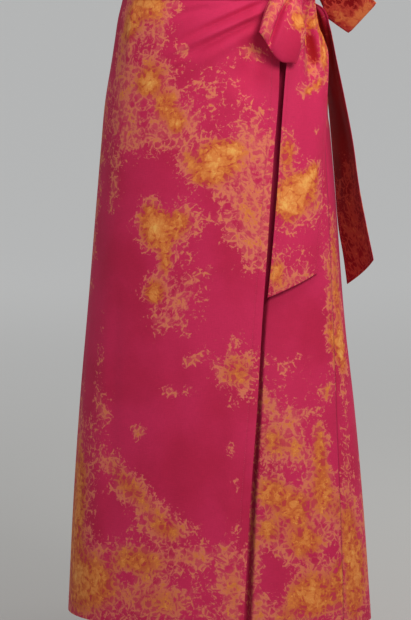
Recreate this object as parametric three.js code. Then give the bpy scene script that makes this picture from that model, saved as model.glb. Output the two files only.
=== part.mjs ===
import * as THREE from 'three';

// A long wrap skirt, worn: three panels and a waistband that lap over at the front and are held by
// a bow at the left hip. Millimetres. The origin is the centre of the waist opening, half way up the
// waistband. The front is -Y, the wearer's left is +X and up is +Z.
// Angles are degrees round the body from the middle of the front, positive towards the wearer's left.

// ---------------------------------------------------------------- driving dimensions

const CLOTH = 1.5;
const BAND_CLOTH = 2.2;
const TIE_CLOTH = 1.2;
const SEAM_GAP = 0.3;

const BAND_TOP = 20;
const BAND_BOTTOM = -20;
const HEM = -982;
const BAND_PROUD = 0.6;
const LAP_LIFT = 3.4;

// The hollow form that the cloth hangs in: half ellipses in front and behind, one row a height.
const FORM = [
  { z: 20, halfWidth: 141, front: 92, back: 96, shift: 0 },
  { z: -20, halfWidth: 145.5, front: 99, back: 104, shift: 0 },
  { z: -52, halfWidth: 153, front: 107, back: 114, shift: 0 },
  { z: -84, halfWidth: 158, front: 111, back: 124, shift: 0 },
  { z: -116, halfWidth: 163, front: 114, back: 132, shift: 0 },
  { z: -180, halfWidth: 174, front: 116, back: 142, shift: 0 },
  { z: -245, halfWidth: 180.5, front: 117, back: 146, shift: 0 },
  { z: -335, halfWidth: 188.5, front: 119, back: 147, shift: 0 },
  { z: -490, halfWidth: 202, front: 124, back: 148, shift: 0 },
  { z: -645, halfWidth: 217.5, front: 135, back: 152, shift: 2 },
  { z: -800, halfWidth: 229.5, front: 148, back: 160, shift: 4 },
  { z: -985, halfWidth: 240.5, front: 166, back: 172, shift: 6.5 },
];

// Soft vertical folds. Each starts at its own height and reaches its full rise at the hem.
const FLUTES = [
  { angle: -62, spread: 13, rise: 4.5, from: -420 },
  { angle: -28, spread: 12, rise: -4, from: -300 },
  { angle: 1, spread: 15, rise: 5, from: -380 },
  { angle: 44, spread: 11, rise: 3.5, from: -520 },
  { angle: 86, spread: 8, rise: 4, from: -350 },
  { angle: 108, spread: 10, rise: -5, from: -300 },
  { angle: 133, spread: 12, rise: 8, from: -330 },
  { angle: 160, spread: 11, rise: -5, from: -260 },
  { angle: 186, spread: 13, rise: 9, from: -360 },
  { angle: 214, spread: 11, rise: -4, from: -300 },
  { angle: 238, spread: 12, rise: 7, from: -420 },
];

// Edges of the panels: the angle of each at a height.
const RIGHT_SEAM = -90;
const LEFT_SEAM = [
  { z: 20, angle: 84 },
  { z: -250, angle: 80 },
  { z: -480, angle: 73.5 },
  { z: -670, angle: 67 },
  { z: -985, angle: 63 },
];
const OVERLAP_EDGE = [
  { z: 20, angle: 55 },
  { z: -112, angle: 46 },
  { z: -246, angle: 38 },
  { z: -474, angle: 29.5 },
  { z: -626, angle: 25 },
  { z: -778, angle: 21 },
  { z: -985, angle: 17.5 },
];
const UNDERLAP_EDGE = [
  { z: 20, angle: -45 },
  { z: -985, angle: -30 },
];
const LIFT_STARTS = -64;
const LIFT_FULL = -42;

// Ridges of cloth that the bow draws up across the overlap: from near the bow to where each dies out.
const DRAG_FOLDS = [
  { fromAngle: 36, fromZ: -24, toAngle: -8, toZ: -52, rise: 2.2, halfWidth: 7 },
  { fromAngle: 38, fromZ: -44, toAngle: -16, toZ: -86, rise: 3.4, halfWidth: 9 },
  { fromAngle: 37, fromZ: -70, toAngle: -6, toZ: -126, rise: 2.6, halfWidth: 10 },
];
const DRAG_FOLD_ROWS = 14;
const DRAG_FOLDS_END = -140;

// The knot is a flattened barrel that stands off the waistband.
const KNOT = { x: 154, y: -34, along: 17, deep: 14, halfHeight: 19, endScale: 0.86, sides: 20 };
const KNOT_TANGENT = new THREE.Vector3(0.394, 0.919, 0);
const KNOT_OUTWARD = new THREE.Vector3(0.919, -0.394, 0);
const KNOT_SQUARENESS = 3;

// The first stretch of each tie: how it starts at the waistband and where it meets the knot.
const ROOT_DEPTH = -6;
const ROOT_HALF_HEIGHT = 11;
const ROOT_LIFT_FRONT = BAND_PROUD + LAP_LIFT;
const ROOT_LIFT_SIDE = BAND_PROUD + TIE_CLOTH;
const ROOT_GAP_ANGLE = 0.2;
const ROOT_END_GAP = 0.6;

// Where each loop of the bow bends and ends, and how its ribbon lies at the end fold.
const LOOPS = [
  {
    name: 'bow_loop_front',
    side: -1,
    bend: [137, -80, -14],
    end: [121, -110, -99],
    rootAcross: [0, 0, -1],
    endAcross: [0.645, 0.406, -0.64],
    halfWidth: 37,
    fullness: 22,
    trough: { at: -0.35, spread: 0.2, depth: 5 },
  },
  {
    name: 'bow_loop_side',
    side: 1,
    bend: [172, 4, -4],
    end: [229, 12, -50],
    rootAcross: [0, 0, 1],
    endAcross: [0.663, -0.38, 0.647],
    halfWidth: 36,
    fullness: 18,
    trough: { at: 0.2, spread: 0.3, depth: 2 },
  },
];
const LOOP_ROOT_HALF_WIDTH = 12;
const LOOP_ROOT_OPEN = 3;
const LOOP_ROOT_GAP = 0.3;
const LOOP_CUT = 0.02;
const TROUGH_LIMIT = 0.6;

// The two hanging ends of the ties: where the edges run, how far the middle bows out, and one fold.
const FRONT_TAIL = [
  { z: -19.3, leftX: 147.5, leftY: -44, rightX: 155.5, rightY: -26, belly: 0, fold: 0 },
  { z: -60, leftX: 134, leftY: -63, rightX: 171.5, rightY: -27, belly: 2, fold: 3 },
  { z: -105, leftX: 121.5, leftY: -81, rightX: 183, rightY: -21.5, belly: 6, fold: 7 },
  { z: -180, leftX: 119, leftY: -90, rightX: 182, rightY: -32, belly: 8, fold: 2 },
  { z: -290, leftX: 114, leftY: -98, rightX: 179, rightY: -41, belly: 10, fold: 0 },
  { z: -380, leftX: 109, leftY: -106, rightX: 177, rightY: -56, belly: 9, fold: 0 },
  { z: -435, leftX: 106, leftY: -110, rightX: 175, rightY: -64, belly: 8, fold: 0 },
  { z: -470, leftX: 104, leftY: -112, rightX: 174, rightY: -67, belly: 8, fold: 0 },
];
const SIDE_TAIL = [
  { z: -19.3, leftX: 151, leftY: -20, rightX: 146.5, rightY: -31, belly: 0, fold: 0 },
  { z: -60, leftX: 163, leftY: 19, rightX: 183.5, rightY: -9, belly: 2, fold: 2 },
  { z: -110, leftX: 166, leftY: 50, rightX: 193, rightY: 3.5, belly: 3, fold: 4 },
  { z: -170, leftX: 167, leftY: 79, rightX: 204, rightY: 14, belly: 2, fold: 3 },
  { z: -240, leftX: 170, leftY: 91, rightX: 215, rightY: 21, belly: -2, fold: 1 },
  { z: -310, leftX: 172, leftY: 91.5, rightX: 222, rightY: 24.5, belly: -4, fold: 0 },
  { z: -380, leftX: 177, leftY: 92, rightX: 234.5, rightY: 29.5, belly: -5, fold: 0 },
  { z: -425, leftX: 184.5, leftY: 93.5, rightX: 243.5, rightY: 33.5, belly: -5, fold: 0 },
  { z: -470, leftX: 190.5, leftY: 95, rightX: 250, rightY: 37, belly: -5, fold: 0 },
];
const FRONT_TAIL_ENDS = { left: -470, right: -435 };
const SIDE_TAIL_ENDS = { left: -470, right: -424 };
const TAIL_FOLD = { at: 0.62, spread: 0.14 };

// Rows and columns of each sheet of cloth.
const GRID = {
  back: { rows: 22, columns: 22 },
  overlap: { rows: 34, columns: 24 },
  underlap: { rows: 22, columns: 15 },
  band: { rows: 2, columns: 20 },
  root: { rows: 3, columns: 5 },
  tail: { rows: 17, columns: 7 },
  loop: { rows: 17, columns: 6 },
};

// ---------------------------------------------------------------- materials

const finish = (color, roughness) => new THREE.MeshStandardMaterial({ color, roughness, metalness: 0 });
const magenta = () => finish(0xb82a55, 0.85);
const magentaUnder = () => finish(0xa8264c, 0.85);
const bandCloth = () => finish(0xc23560, 0.8);
const tieFace = () => finish(0xcf5560, 0.8);
const tieReverse = () => finish(0x7c2a20, 0.85);

// ---------------------------------------------------------------- helpers

const radians = THREE.MathUtils.degToRad;
const mix = THREE.MathUtils.lerp;
const ease = (value, start, end) => THREE.MathUtils.smoothstep(value, start, end);
const bump = (distance, spread) => Math.exp(-0.5 * (distance / spread) ** 2);

// The smooth value of every column of a table at height z. Rows run from the top down.
function along(table, z) {
  const last = table.length - 1;
  let row = 0;
  while (row < last - 1 && z < table[row + 1].z) row += 1;
  const before = table[Math.max(row - 1, 0)];
  const upper = table[row];
  const lower = table[row + 1];
  const after = table[Math.min(row + 2, last)];
  const span = lower.z - upper.z;
  const t = (z - upper.z) / span;
  const values = {};
  for (const column of Object.keys(upper)) {
    const slopeIn = ((lower[column] - before[column]) / (lower.z - before.z)) * span;
    const slopeOut = ((after[column] - upper[column]) / (after.z - upper.z)) * span;
    const rise = lower[column] - upper[column];
    const cubic = slopeIn + slopeOut - 2 * rise;
    const square = 3 * rise - 2 * slopeIn - slopeOut;
    values[column] = upper[column] + t * (slopeIn + t * (square + t * cubic));
  }
  return values;
}

// How far the soft vertical folds stand out at a place on the form.
function fluteRise(angle, z) {
  let rise = 0;
  for (const flute of FLUTES) {
    const turn = THREE.MathUtils.euclideanModulo(angle - flute.angle + 180, 360) - 180;
    const grown = ease(flute.from - z, 0, flute.from - HEM);
    rise += flute.rise * grown * bump(turn, flute.spread);
  }
  return rise;
}

// A point on the form at an angle and a height, moved outwards by lift.
function formPoint(angle, z, lift) {
  const { halfWidth, front, back, shift } = along(FORM, z);
  const turn = radians(angle);
  const depth = Math.cos(turn) >= 0 ? front : back;
  const outward = new THREE.Vector2(Math.sin(turn) / halfWidth, -Math.cos(turn) / depth).normalize();
  const out = lift + fluteRise(angle, z);
  const x = shift + halfWidth * Math.sin(turn) + outward.x * out;
  const y = -depth * Math.cos(turn) + outward.y * out;
  return new THREE.Vector3(x, y, z);
}

// The half gap of a side seam as an angle.
const seamAngle = (z) => THREE.MathUtils.radToDeg(SEAM_GAP / 2 / along(FORM, z).front);

// How far the drag folds stand out of the overlap at an angle and a height.
function dragRise(angle, z) {
  const reach = along(FORM, z).halfWidth;
  let rise = 0;
  for (const fold of DRAG_FOLDS) {
    const run = radians(fold.toAngle - fold.fromAngle) * reach;
    const drop = fold.toZ - fold.fromZ;
    const length = Math.hypot(run, drop);
    const sideways = radians(angle - fold.fromAngle) * reach;
    const down = z - fold.fromZ;
    const t = (sideways * run + down * drop) / length ** 2;
    const across = (sideways * drop - down * run) / length;
    const fade = ease(t, -0.15, 0.15) * (1 - ease(t, 0.45, 1.1));
    rise += fold.rise * fade * bump(across, fold.halfWidth / 1.6);
  }
  return rise;
}

// A closed wall of cloth. pointAt(u, v, depth) gives a point of its face, u from left to right and
// v from top to bottom as seen from outside, and the same point sunk by depth.
function sheet(name, material, thickness, grid, pointAt) {
  const { rows, columns } = grid;
  const positions = [];
  for (const depth of [0, thickness]) {
    for (let row = 0; row < rows; row += 1) {
      for (let column = 0; column < columns; column += 1) {
        pointAt(column / (columns - 1), row / (rows - 1), depth).toArray(positions, positions.length);
      }
    }
  }
  const outer = (row, column) => row * columns + column;
  const inner = (row, column) => (rows + row) * columns + column;
  const faces = [];
  const quad = (a, b, c, d) => faces.push(a, b, c, a, c, d);
  for (let row = 0; row < rows - 1; row += 1) {
    for (let column = 0; column < columns - 1; column += 1) {
      const corners = [[row, column], [row + 1, column], [row + 1, column + 1], [row, column + 1]];
      quad(...corners.map((corner) => outer(...corner)));
      quad(...corners.map((corner) => inner(...corner)).reverse());
    }
  }
  for (let column = 0; column < columns - 1; column += 1) {
    quad(outer(0, column), outer(0, column + 1), inner(0, column + 1), inner(0, column));
    const end = rows - 1;
    quad(outer(end, column + 1), outer(end, column), inner(end, column), inner(end, column + 1));
  }
  for (let row = 0; row < rows - 1; row += 1) {
    quad(outer(row + 1, 0), outer(row, 0), inner(row, 0), inner(row + 1, 0));
    const end = columns - 1;
    quad(outer(row, end), outer(row + 1, end), inner(row + 1, end), inner(row, end));
  }
  const geometry = new THREE.BufferGeometry();
  geometry.setAttribute('position', new THREE.Float32BufferAttribute(positions, 3));
  geometry.setIndex(faces);
  geometry.computeVertexNormals();
  const mesh = new THREE.Mesh(geometry, material);
  mesh.name = name;
  return mesh;
}

// ---------------------------------------------------------------- panels and waistband

const PANEL_TOP = BAND_BOTTOM - SEAM_GAP;
const FULL_TURN = 360;

const leftSeam = (z) => along(LEFT_SEAM, z).angle;
const overlapEdge = (z) => along(OVERLAP_EDGE, z).angle;
const underlapEdge = (z) => along(UNDERLAP_EDGE, z).angle;
const lapLift = (angle) => LAP_LIFT * ease(angle, LIFT_STARTS, LIFT_FULL);

const backSpan = (z) => [leftSeam(z) + seamAngle(z), FULL_TURN + RIGHT_SEAM - seamAngle(z)];
const overlapSpan = (z) => [RIGHT_SEAM + seamAngle(z), overlapEdge(z)];
const underlapSpan = (z) => [underlapEdge(z), leftSeam(z) - seamAngle(z)];

// A sheet that follows the form between two edges and two heights.
function formSheet(name, material, thickness, grid, heightAt, spanAt, liftAt) {
  return sheet(name, material, thickness, grid, (u, v, depth) => {
    const z = heightAt(v);
    const [start, end] = spanAt(z);
    const angle = mix(start, end, u);
    return formPoint(angle, z, liftAt(angle, z) - depth);
  });
}

function panels() {
  const evenHeight = (v) => mix(PANEL_TOP, HEM, v);
  const dragShare = (DRAG_FOLD_ROWS - 1) / (GRID.overlap.rows - 1);
  const overlapHeight = (v) => {
    if (v < dragShare) return mix(PANEL_TOP, DRAG_FOLDS_END, v / dragShare);
    return mix(DRAG_FOLDS_END, HEM, (v - dragShare) / (1 - dragShare));
  };
  const flat = () => 0;
  const lapped = (angle, z) => lapLift(angle) + dragRise(angle, z);
  return [
    formSheet('back_panel', magentaUnder(), CLOTH, GRID.back, evenHeight, backSpan, flat),
    formSheet('front_underlap', magentaUnder(), CLOTH, GRID.underlap, evenHeight, underlapSpan, flat),
    formSheet('front_overlap', magenta(), CLOTH, GRID.overlap, overlapHeight, overlapSpan, lapped),
  ];
}

function waistband() {
  const height = (v) => mix(BAND_TOP, BAND_BOTTOM, v);
  const flat = () => BAND_PROUD;
  const lapped = (angle) => BAND_PROUD + lapLift(angle);
  const spans = {
    waistband_back: [backSpan, flat],
    waistband_underlap: [underlapSpan, flat],
    waistband_overlap: [overlapSpan, lapped],
  };
  return Object.entries(spans).map(([name, [span, lift]]) =>
    formSheet(name, bandCloth(), BAND_CLOTH, GRID.band, height, span, lift));
}

// ---------------------------------------------------------------- bow

const knotCentre = new THREE.Vector3(KNOT.x, KNOT.y, 0);

// A point near the knot: along its tangent, outwards from the body, and up.
function knotPoint(tangent, outward, up) {
  return knotCentre.clone()
    .addScaledVector(KNOT_TANGENT, tangent)
    .addScaledVector(KNOT_OUTWARD, outward)
    .add(new THREE.Vector3(0, 0, up));
}

// How far the knot's side is from its middle, at a depth in it.
function knotSide(outward) {
  const share = 1 - Math.abs(outward / KNOT.deep) ** KNOT_SQUARENESS;
  return KNOT.along * share ** (1 / KNOT_SQUARENESS);
}

// The knot: rings of a rounded square, narrower at the ends, between two flat caps.
function knot() {
  const { sides, halfHeight, endScale } = KNOT;
  const rings = 7;
  const positions = [];
  for (let ring = 0; ring < rings; ring += 1) {
    const level = mix(1, -1, ring / (rings - 1));
    const scale = endScale + (1 - endScale) * Math.cos((level * Math.PI) / 2);
    for (let side = 0; side < sides; side += 1) {
      const turn = (2 * Math.PI * side) / sides;
      const soften = (value) => Math.sign(value) * Math.abs(value) ** (2 / KNOT_SQUARENESS);
      const tangent = KNOT.along * scale * soften(Math.cos(turn));
      const outward = KNOT.deep * scale * soften(Math.sin(turn));
      knotPoint(tangent, outward, halfHeight * level).toArray(positions, positions.length);
    }
  }
  const top = positions.length / 3;
  knotPoint(0, 0, halfHeight).toArray(positions, positions.length);
  knotPoint(0, 0, -halfHeight).toArray(positions, positions.length);
  const faces = [];
  for (let side = 0; side < sides; side += 1) {
    const next = (side + 1) % sides;
    for (let ring = 0; ring < rings - 1; ring += 1) {
      const upper = ring * sides;
      const lower = upper + sides;
      faces.push(upper + side, upper + next, lower + next);
      faces.push(upper + side, lower + next, lower + side);
    }
    const lastRing = (rings - 1) * sides;
    faces.push(top, next, side);
    faces.push(top + 1, lastRing + side, lastRing + next);
  }
  const geometry = new THREE.BufferGeometry();
  geometry.setAttribute('position', new THREE.Float32BufferAttribute(positions, 3));
  geometry.setIndex(faces);
  geometry.computeVertexNormals();
  const mesh = new THREE.Mesh(geometry, tieFace());
  mesh.name = 'bow_knot';
  return mesh;
}

// A tie's first stretch, from the waistband to the knot's side: it narrows as the knot gathers it.
function tieRoot(name, startAngleAt, startLift, side, gap) {
  const knotEnd = knotPoint(side * (knotSide(ROOT_DEPTH) + gap), ROOT_DEPTH, 0);
  return sheet(name, tieFace(), TIE_CLOTH, GRID.root, (u, v, depth) => {
    const nearKnot = side < 0 ? u : 1 - u;
    const halfHeight = mix(BAND_TOP, ROOT_HALF_HEIGHT, ease(nearKnot, 0, 1));
    const z = mix(halfHeight, -halfHeight, v);
    const start = formPoint(startAngleAt(z), z, startLift);
    const run = knotEnd.clone().sub(start).multiplyScalar(-side).setZ(0).normalize();
    const outward = new THREE.Vector3(run.y, -run.x, 0);
    const point = start.lerp(knotEnd, nearKnot).addScaledVector(outward, -depth);
    return point.setZ(z);
  });
}

// A loop of the bow: the ribbon runs out from the knot along its spine, folds at the end and
// comes back behind itself. It is gathered at the knot and has one soft trough along it.
function loop(settings) {
  const { side, halfWidth, fullness, trough } = settings;
  const root = knotPoint(side * (KNOT.along + LOOP_ROOT_GAP), 0, 0);
  const bend = new THREE.Vector3(...settings.bend);
  const end = new THREE.Vector3(...settings.end);
  const spine = new THREE.QuadraticBezierCurve3(root, bend, end);
  const rootAcross = new THREE.Vector3(...settings.rootAcross);
  const endAcross = new THREE.Vector3(...settings.endAcross);
  const frameAt = (t) => {
    const forward = spine.getTangent(t);
    const across = rootAcross.clone().lerp(endAcross, ease(t, 0, 0.8)).normalize();
    const facing = across.clone().cross(forward).normalize();
    if (facing.dot(KNOT_OUTWARD) < 0) facing.negate();
    return { forward, across, facing };
  };
  const reach = root.distanceTo(end);
  const pointOf = (place, width, depth) => {
    const turn = 2 * Math.PI * mix(LOOP_CUT, 1 - LOOP_CUT, place);
    const t = (1 - Math.cos(turn)) / 2;
    const { forward, across, facing } = frameAt(t);
    const outward = Math.sin(turn / 2);
    const leafSide = Math.cos(turn / 2);
    const leaf = (fullness / 2) * Math.sin(turn) * outward + LOOP_ROOT_OPEN * leafSide;
    const rise = (fullness / 2) * (Math.cos(turn) * outward + Math.sin(turn) * leafSide / 2);
    const lengthwise = new THREE.Vector2(reach * Math.sin(turn) / 2, rise - LOOP_ROOT_OPEN * outward / 2);
    lengthwise.normalize();
    const hollow = trough.depth * bump(width - trough.at, trough.spread) * outward ** 2;
    const sink = Math.sign(leafSide) * Math.min(Math.abs(leaf) * TROUGH_LIMIT, hollow);
    const point = spine.getPoint(t);
    point.addScaledVector(across, width * mix(LOOP_ROOT_HALF_WIDTH, halfWidth, ease(t, 0, 0.75)));
    point.addScaledVector(facing, leaf - sink - depth * lengthwise.x);
    point.addScaledVector(forward, depth * lengthwise.y);
    return point;
  };
  const { forward, across, facing } = frameAt(1);
  const handed = Math.sign(across.clone().cross(facing).dot(forward));
  return sheet(settings.name, side < 0 ? tieFace() : tieReverse(), TIE_CLOTH, GRID.loop,
    (u, v, depth) => pointOf(v, handed * (2 * u - 1), depth));
}

// A tie's hanging end: gathered under the knot, full width lower down, and cut off at a slant.
function tail(name, material, table, ends) {
  const top = table[0].z;
  return sheet(name, material, TIE_CLOTH, GRID.tail, (u, v, depth) => {
    const leftZ = mix(top, ends.left, v);
    const rightZ = mix(top, ends.right, v);
    const left = along(table, leftZ);
    const right = along(table, rightZ);
    const run = new THREE.Vector2(right.rightX - left.leftX, right.rightY - left.leftY);
    const outward = new THREE.Vector2(run.y, -run.x).normalize();
    const belly = 4 * u * (1 - u) * mix(left.belly, right.belly, u);
    const fold = mix(left.fold, right.fold, u) * bump(u - TAIL_FOLD.at, TAIL_FOLD.spread);
    const out = belly - fold - depth;
    const x = left.leftX + run.x * u + outward.x * out;
    const y = left.leftY + run.y * u + outward.y * out;
    return new THREE.Vector3(x, y, mix(leftZ, rightZ, u));
  });
}

function bow() {
  const frontStart = (z) => overlapEdge(z) + ROOT_GAP_ANGLE;
  const sideStart = (z) => leftSeam(z) + ROOT_GAP_ANGLE;
  return [
    knot(),
    tieRoot('tie_root_front', frontStart, ROOT_LIFT_FRONT, -1, ROOT_END_GAP),
    tieRoot('tie_root_side', sideStart, ROOT_LIFT_SIDE, 1, TIE_CLOTH + SEAM_GAP),
    ...LOOPS.map(loop),
    tail('tie_tail_front', tieFace(), FRONT_TAIL, FRONT_TAIL_ENDS),
    tail('tie_tail_side', tieReverse(), SIDE_TAIL, SIDE_TAIL_ENDS),
  ];
}

const skirt = new THREE.Group();
skirt.add(...panels(), ...waistband(), ...bow());

export default skirt;
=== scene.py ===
"""The looks of a long printed wrap skirt: its cloth and folds, the bow at the left hip, the stitching
and a plain studio. Lengths in the tables are millimetres, and angles are degrees round the body from
the middle of the front, positive towards the wearer's left."""

import math

import bpy
import numpy as np
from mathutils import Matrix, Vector


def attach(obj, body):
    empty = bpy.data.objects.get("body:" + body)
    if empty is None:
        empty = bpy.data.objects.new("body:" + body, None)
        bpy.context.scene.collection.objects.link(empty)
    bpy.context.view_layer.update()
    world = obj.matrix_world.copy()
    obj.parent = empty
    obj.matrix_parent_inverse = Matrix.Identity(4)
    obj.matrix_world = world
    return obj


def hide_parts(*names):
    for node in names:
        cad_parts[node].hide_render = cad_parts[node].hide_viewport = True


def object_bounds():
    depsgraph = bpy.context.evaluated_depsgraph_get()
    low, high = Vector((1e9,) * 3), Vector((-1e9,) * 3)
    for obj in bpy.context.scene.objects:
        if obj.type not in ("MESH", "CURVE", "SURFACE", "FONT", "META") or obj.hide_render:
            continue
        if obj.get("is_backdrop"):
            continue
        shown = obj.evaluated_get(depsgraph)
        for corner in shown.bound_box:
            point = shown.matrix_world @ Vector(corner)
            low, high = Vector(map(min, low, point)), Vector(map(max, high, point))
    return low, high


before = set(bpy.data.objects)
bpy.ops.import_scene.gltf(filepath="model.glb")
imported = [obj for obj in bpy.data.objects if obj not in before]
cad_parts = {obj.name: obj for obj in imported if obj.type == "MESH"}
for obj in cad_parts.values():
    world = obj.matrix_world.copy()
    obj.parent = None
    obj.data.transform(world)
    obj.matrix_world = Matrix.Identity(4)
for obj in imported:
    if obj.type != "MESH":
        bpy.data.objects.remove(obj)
cad_low, cad_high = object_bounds()

MM = 0.001


# ---------------------------------------------------------------- measuring helpers


def mix(start, end, share):
    return start + (end - start) * share


def ease(value, start, end):
    """0 before start, 1 after end and a soft rise between."""
    share = np.clip((value - start) / (end - start), 0.0, 1.0)
    return share * share * (3.0 - 2.0 * share)


def bump(distance, spread):
    """1 in the middle of a fold, falling away softly over its spread."""
    return np.exp(-0.5 * (distance / spread) ** 2)


def unit(vectors):
    lengths = np.linalg.norm(vectors, axis=-1, keepdims=True)
    return vectors / np.maximum(lengths, 1e-9)


class Rows:
    """A short table with named columns. What a row leaves out at its end is 0."""

    def __init__(self, columns, *rows):
        self.columns = columns.split()
        blank = (0,) * len(self.columns)
        self.rows = [dict(zip(self.columns, row + blank)) for row in rows]

    def __iter__(self):
        return iter(self.rows)


class Profile(Rows):
    """A table of heights from the top down, read smoothly between its rows."""

    def at(self, z):
        z = np.asarray(z, dtype=float)
        table = np.array([[row[name] for name in self.columns] for row in self.rows], dtype=float)
        levels = table[:, 0]
        last = len(levels) - 1
        row = np.clip(np.searchsorted(-levels, -z, side="left") - 1, 0, last - 1)
        upper, lower = table[row], table[row + 1]
        before, after = table[np.maximum(row - 1, 0)], table[np.minimum(row + 2, last)]
        span = (lower - upper)[..., :1]
        share = ((z[..., None] - upper[..., :1]) / span)
        slope_in = (lower - before) / (lower - before)[..., :1] * span
        slope_out = (after - upper) / (after - upper)[..., :1] * span
        rise = lower - upper
        cubic = slope_in + slope_out - 2 * rise
        square = 3 * rise - 2 * slope_in - slope_out
        values = upper + share * (slope_in + share * (square + share * cubic))
        return {name: values[..., index] for index, name in enumerate(self.columns)}


# ---------------------------------------------------------------- sizes of the skirt

BAND_TOP = 20
BAND_BOTTOM = -20
PANEL_TOP = -20.3
HEM = -982
SEAM_GAP = 0.3
BAND_PROUD = 0.6
LAP_LIFT = 3.4
PANEL_WALL = 1.0
BAND_WALL = 2.0
TIE_WALL = 0.9
HEM_WIDTH = 20
EDGE_HEM_WIDTH = 12
TIE_HEM_WIDTH = 5
BAND_STITCH_IN = 2.2
BAND_CROWN = 0.7
SEAM_DIP = 0.9
SEAM_DIP_SPREAD = 2.2
GATHER_RISE = 0.5
EDGE_WAVE = 0.9
UNDER_DISH = 3.5

FORM = Profile(
    "z half_width front back shift",
    (20, 141, 92, 96, 0),
    (-20, 145.5, 99, 104, 0),
    (-52, 153, 107, 114, 0),
    (-84, 158, 111, 124, 0),
    (-116, 163, 114, 132, 0),
    (-180, 174, 116, 142, 0),
    (-245, 180.5, 117, 146, 0),
    (-335, 188.5, 119, 147, 0),
    (-490, 202, 124, 148, 0),
    (-645, 217.5, 135, 152, 2),
    (-800, 229.5, 148, 160, 4),
    (-985, 240.5, 166, 172, 6.5),
)

# Soft vertical folds: each starts at its own height and reaches its full rise at the hem.
FLUTES = Rows(
    "angle spread rise start",
    (-62, 13, 4.5, -420),
    (-28, 12, -4, -300),
    (1, 15, 5, -380),
    (44, 11, 3.5, -520),
    (86, 8, 4, -350),
    (108, 10, -6, -300),
    (133, 11, 9, -300),
    (160, 10, -7, -240),
    (186, 11, 10, -320),
    (214, 10, -6, -280),
    (238, 11, 8, -380),
)

RIGHT_SEAM = -90
LEFT_SEAM = Profile("z angle", (20, 84), (-250, 80), (-480, 73.5), (-670, 67), (-985, 63))
OVERLAP_EDGE = Profile(
    "z angle", (20, 55), (-112, 46), (-246, 38), (-474, 29.5), (-626, 25), (-778, 21), (-985, 17.5)
)
UNDERLAP_EDGE = Profile("z angle", (20, -45), (-985, -30))
LIFT_STARTS = -64
LIFT_FULL = -42

# Folds that the bow draws up across the overlap, from near the bow to where each dies out. A rise
# below nothing is a trough, and sag is how far the middle of the fold hangs below a straight line.
DRAG_FOLDS = Rows(
    "angle z to_angle to_z rise half_width sag",
    (37, -18, 0, -60, 2.8, 7, 3),
    (39, -24, -14, -86, -5.2, 6, 3),
    (41, -33, -19, -106, 5.4, 6, 3),
    (35, -46, -12, -114, -4.4, 6.5, 3),
    (32, -66, -11, -142, 4.0, 10, 6),
    (44, -46, 30, -110, -6, 16),
    (36, -82, 22, -168, -15, 23),
    (4, -29, -18, -51, -1.8, 6, 1),
    (16, -21, -18, -34, 1.4, 7, 1),
    (-5, -115, -28, -146, -0.8, 5, 1),
    (-2, -104, -24, -130, 1.0, 5, 1),
    (30, -118, 12, -180, 1.6, 12),
)

# Soft creases of wear elsewhere, written the same way: the front, the sides and the back.
FRONT_CREASES = Rows(
    "angle z to_angle to_z rise half_width sag",
    (-50, -24, -46, -120, 1.2, 9),
    (-70, -22, -62, -150, -1.1, 8),
    (-34, -150, -58, -215, -1.1, 8, 4),
    (-12, -330, -52, -380, -0.9, 14, 6),
    (18, -420, -20, -455, 0.9, 16, 6),
    (-42, -470, -38, -900, -1.6, 16),
    (-8, -520, -12, -985, -1.3, 18),
    (16, -560, 10, -985, 1.4, 14),
    (-74, -520, -70, -985, -1.6, 15),
)
UNDER_CREASES = Rows(
    "angle z to_angle to_z rise half_width sag",
    (66, -24, 58, -160, 1.4, 8),
    (56, -40, 48, -210, -1.2, 8),
    (70, -240, 52, -290, -0.9, 9, 5),
    (52, -480, 48, -985, -1.8, 13),
    (36, -600, 33, -985, 1.6, 12),
)
BACK_CREASES = Rows(
    "angle z to_angle to_z rise half_width sag",
    (92, -22, 98, -118, 2.2, 7),
    (104, -22, 108, -160, -2.2, 8),
    (121, -22, 117, -100, 2.6, 7),
    (138, -22, 133, -150, -2.6, 8),
    (154, -22, 151, -96, 2.2, 7),
    (173, -22, 172, -165, -2.2, 9),
    (192, -22, 195, -108, 2.5, 7),
    (208, -22, 213, -150, -2.4, 8),
    (226, -22, 230, -92, 2.2, 7),
    (246, -22, 242, -130, -2.0, 9),
    (98, -172, 158, -222, 3.4, 12, 10),
    (96, -200, 150, -256, -2.6, 12, 10),
    (196, -238, 252, -186, 3.0, 12, -8),
    (204, -268, 256, -226, -2.4, 13, -8),
    (128, -310, 182, -332, -2.2, 15, 8),
    (184, -362, 236, -336, 2.2, 15, -6),
    (94, -360, 100, -985, -3.4, 13),
    (146, -340, 149, -985, -3.8, 14),
    (172, -420, 175, -985, 3.4, 13),
    (202, -360, 198, -985, -4.0, 13),
    (226, -480, 224, -985, -3.0, 12),
    (254, -430, 257, -985, 3.2, 13),
)

# The overlap's free edge stands off the underlap lower down. The underlap sinks under it, and comes
# back out again beside it: how deep it lies and how far beyond the edge it reaches the form.
EDGE_STAND = 5.5
EDGE_STAND_WIDTH = 34
UNDER_HOLLOW = Profile(
    "z depth reach",
    (-20, 0, 20),
    (-32, 5, 20),
    (-60, 13, 20),
    (-90, 20, 22),
    (-130, 20, 28),
    (-400, 15, 26),
    (-485, 14, 9),
    (-700, 16, 9),
    (-985, 20, 13),
)


# ---------------------------------------------------------------- the form that the cloth hangs in


def reach(z):
    """About how far the cloth is from the body's axis: a degree is this far times pi / 180."""
    shape = FORM.at(z)
    return 0.5 * (shape["half_width"] + 0.5 * (shape["front"] + shape["back"]))


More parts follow.
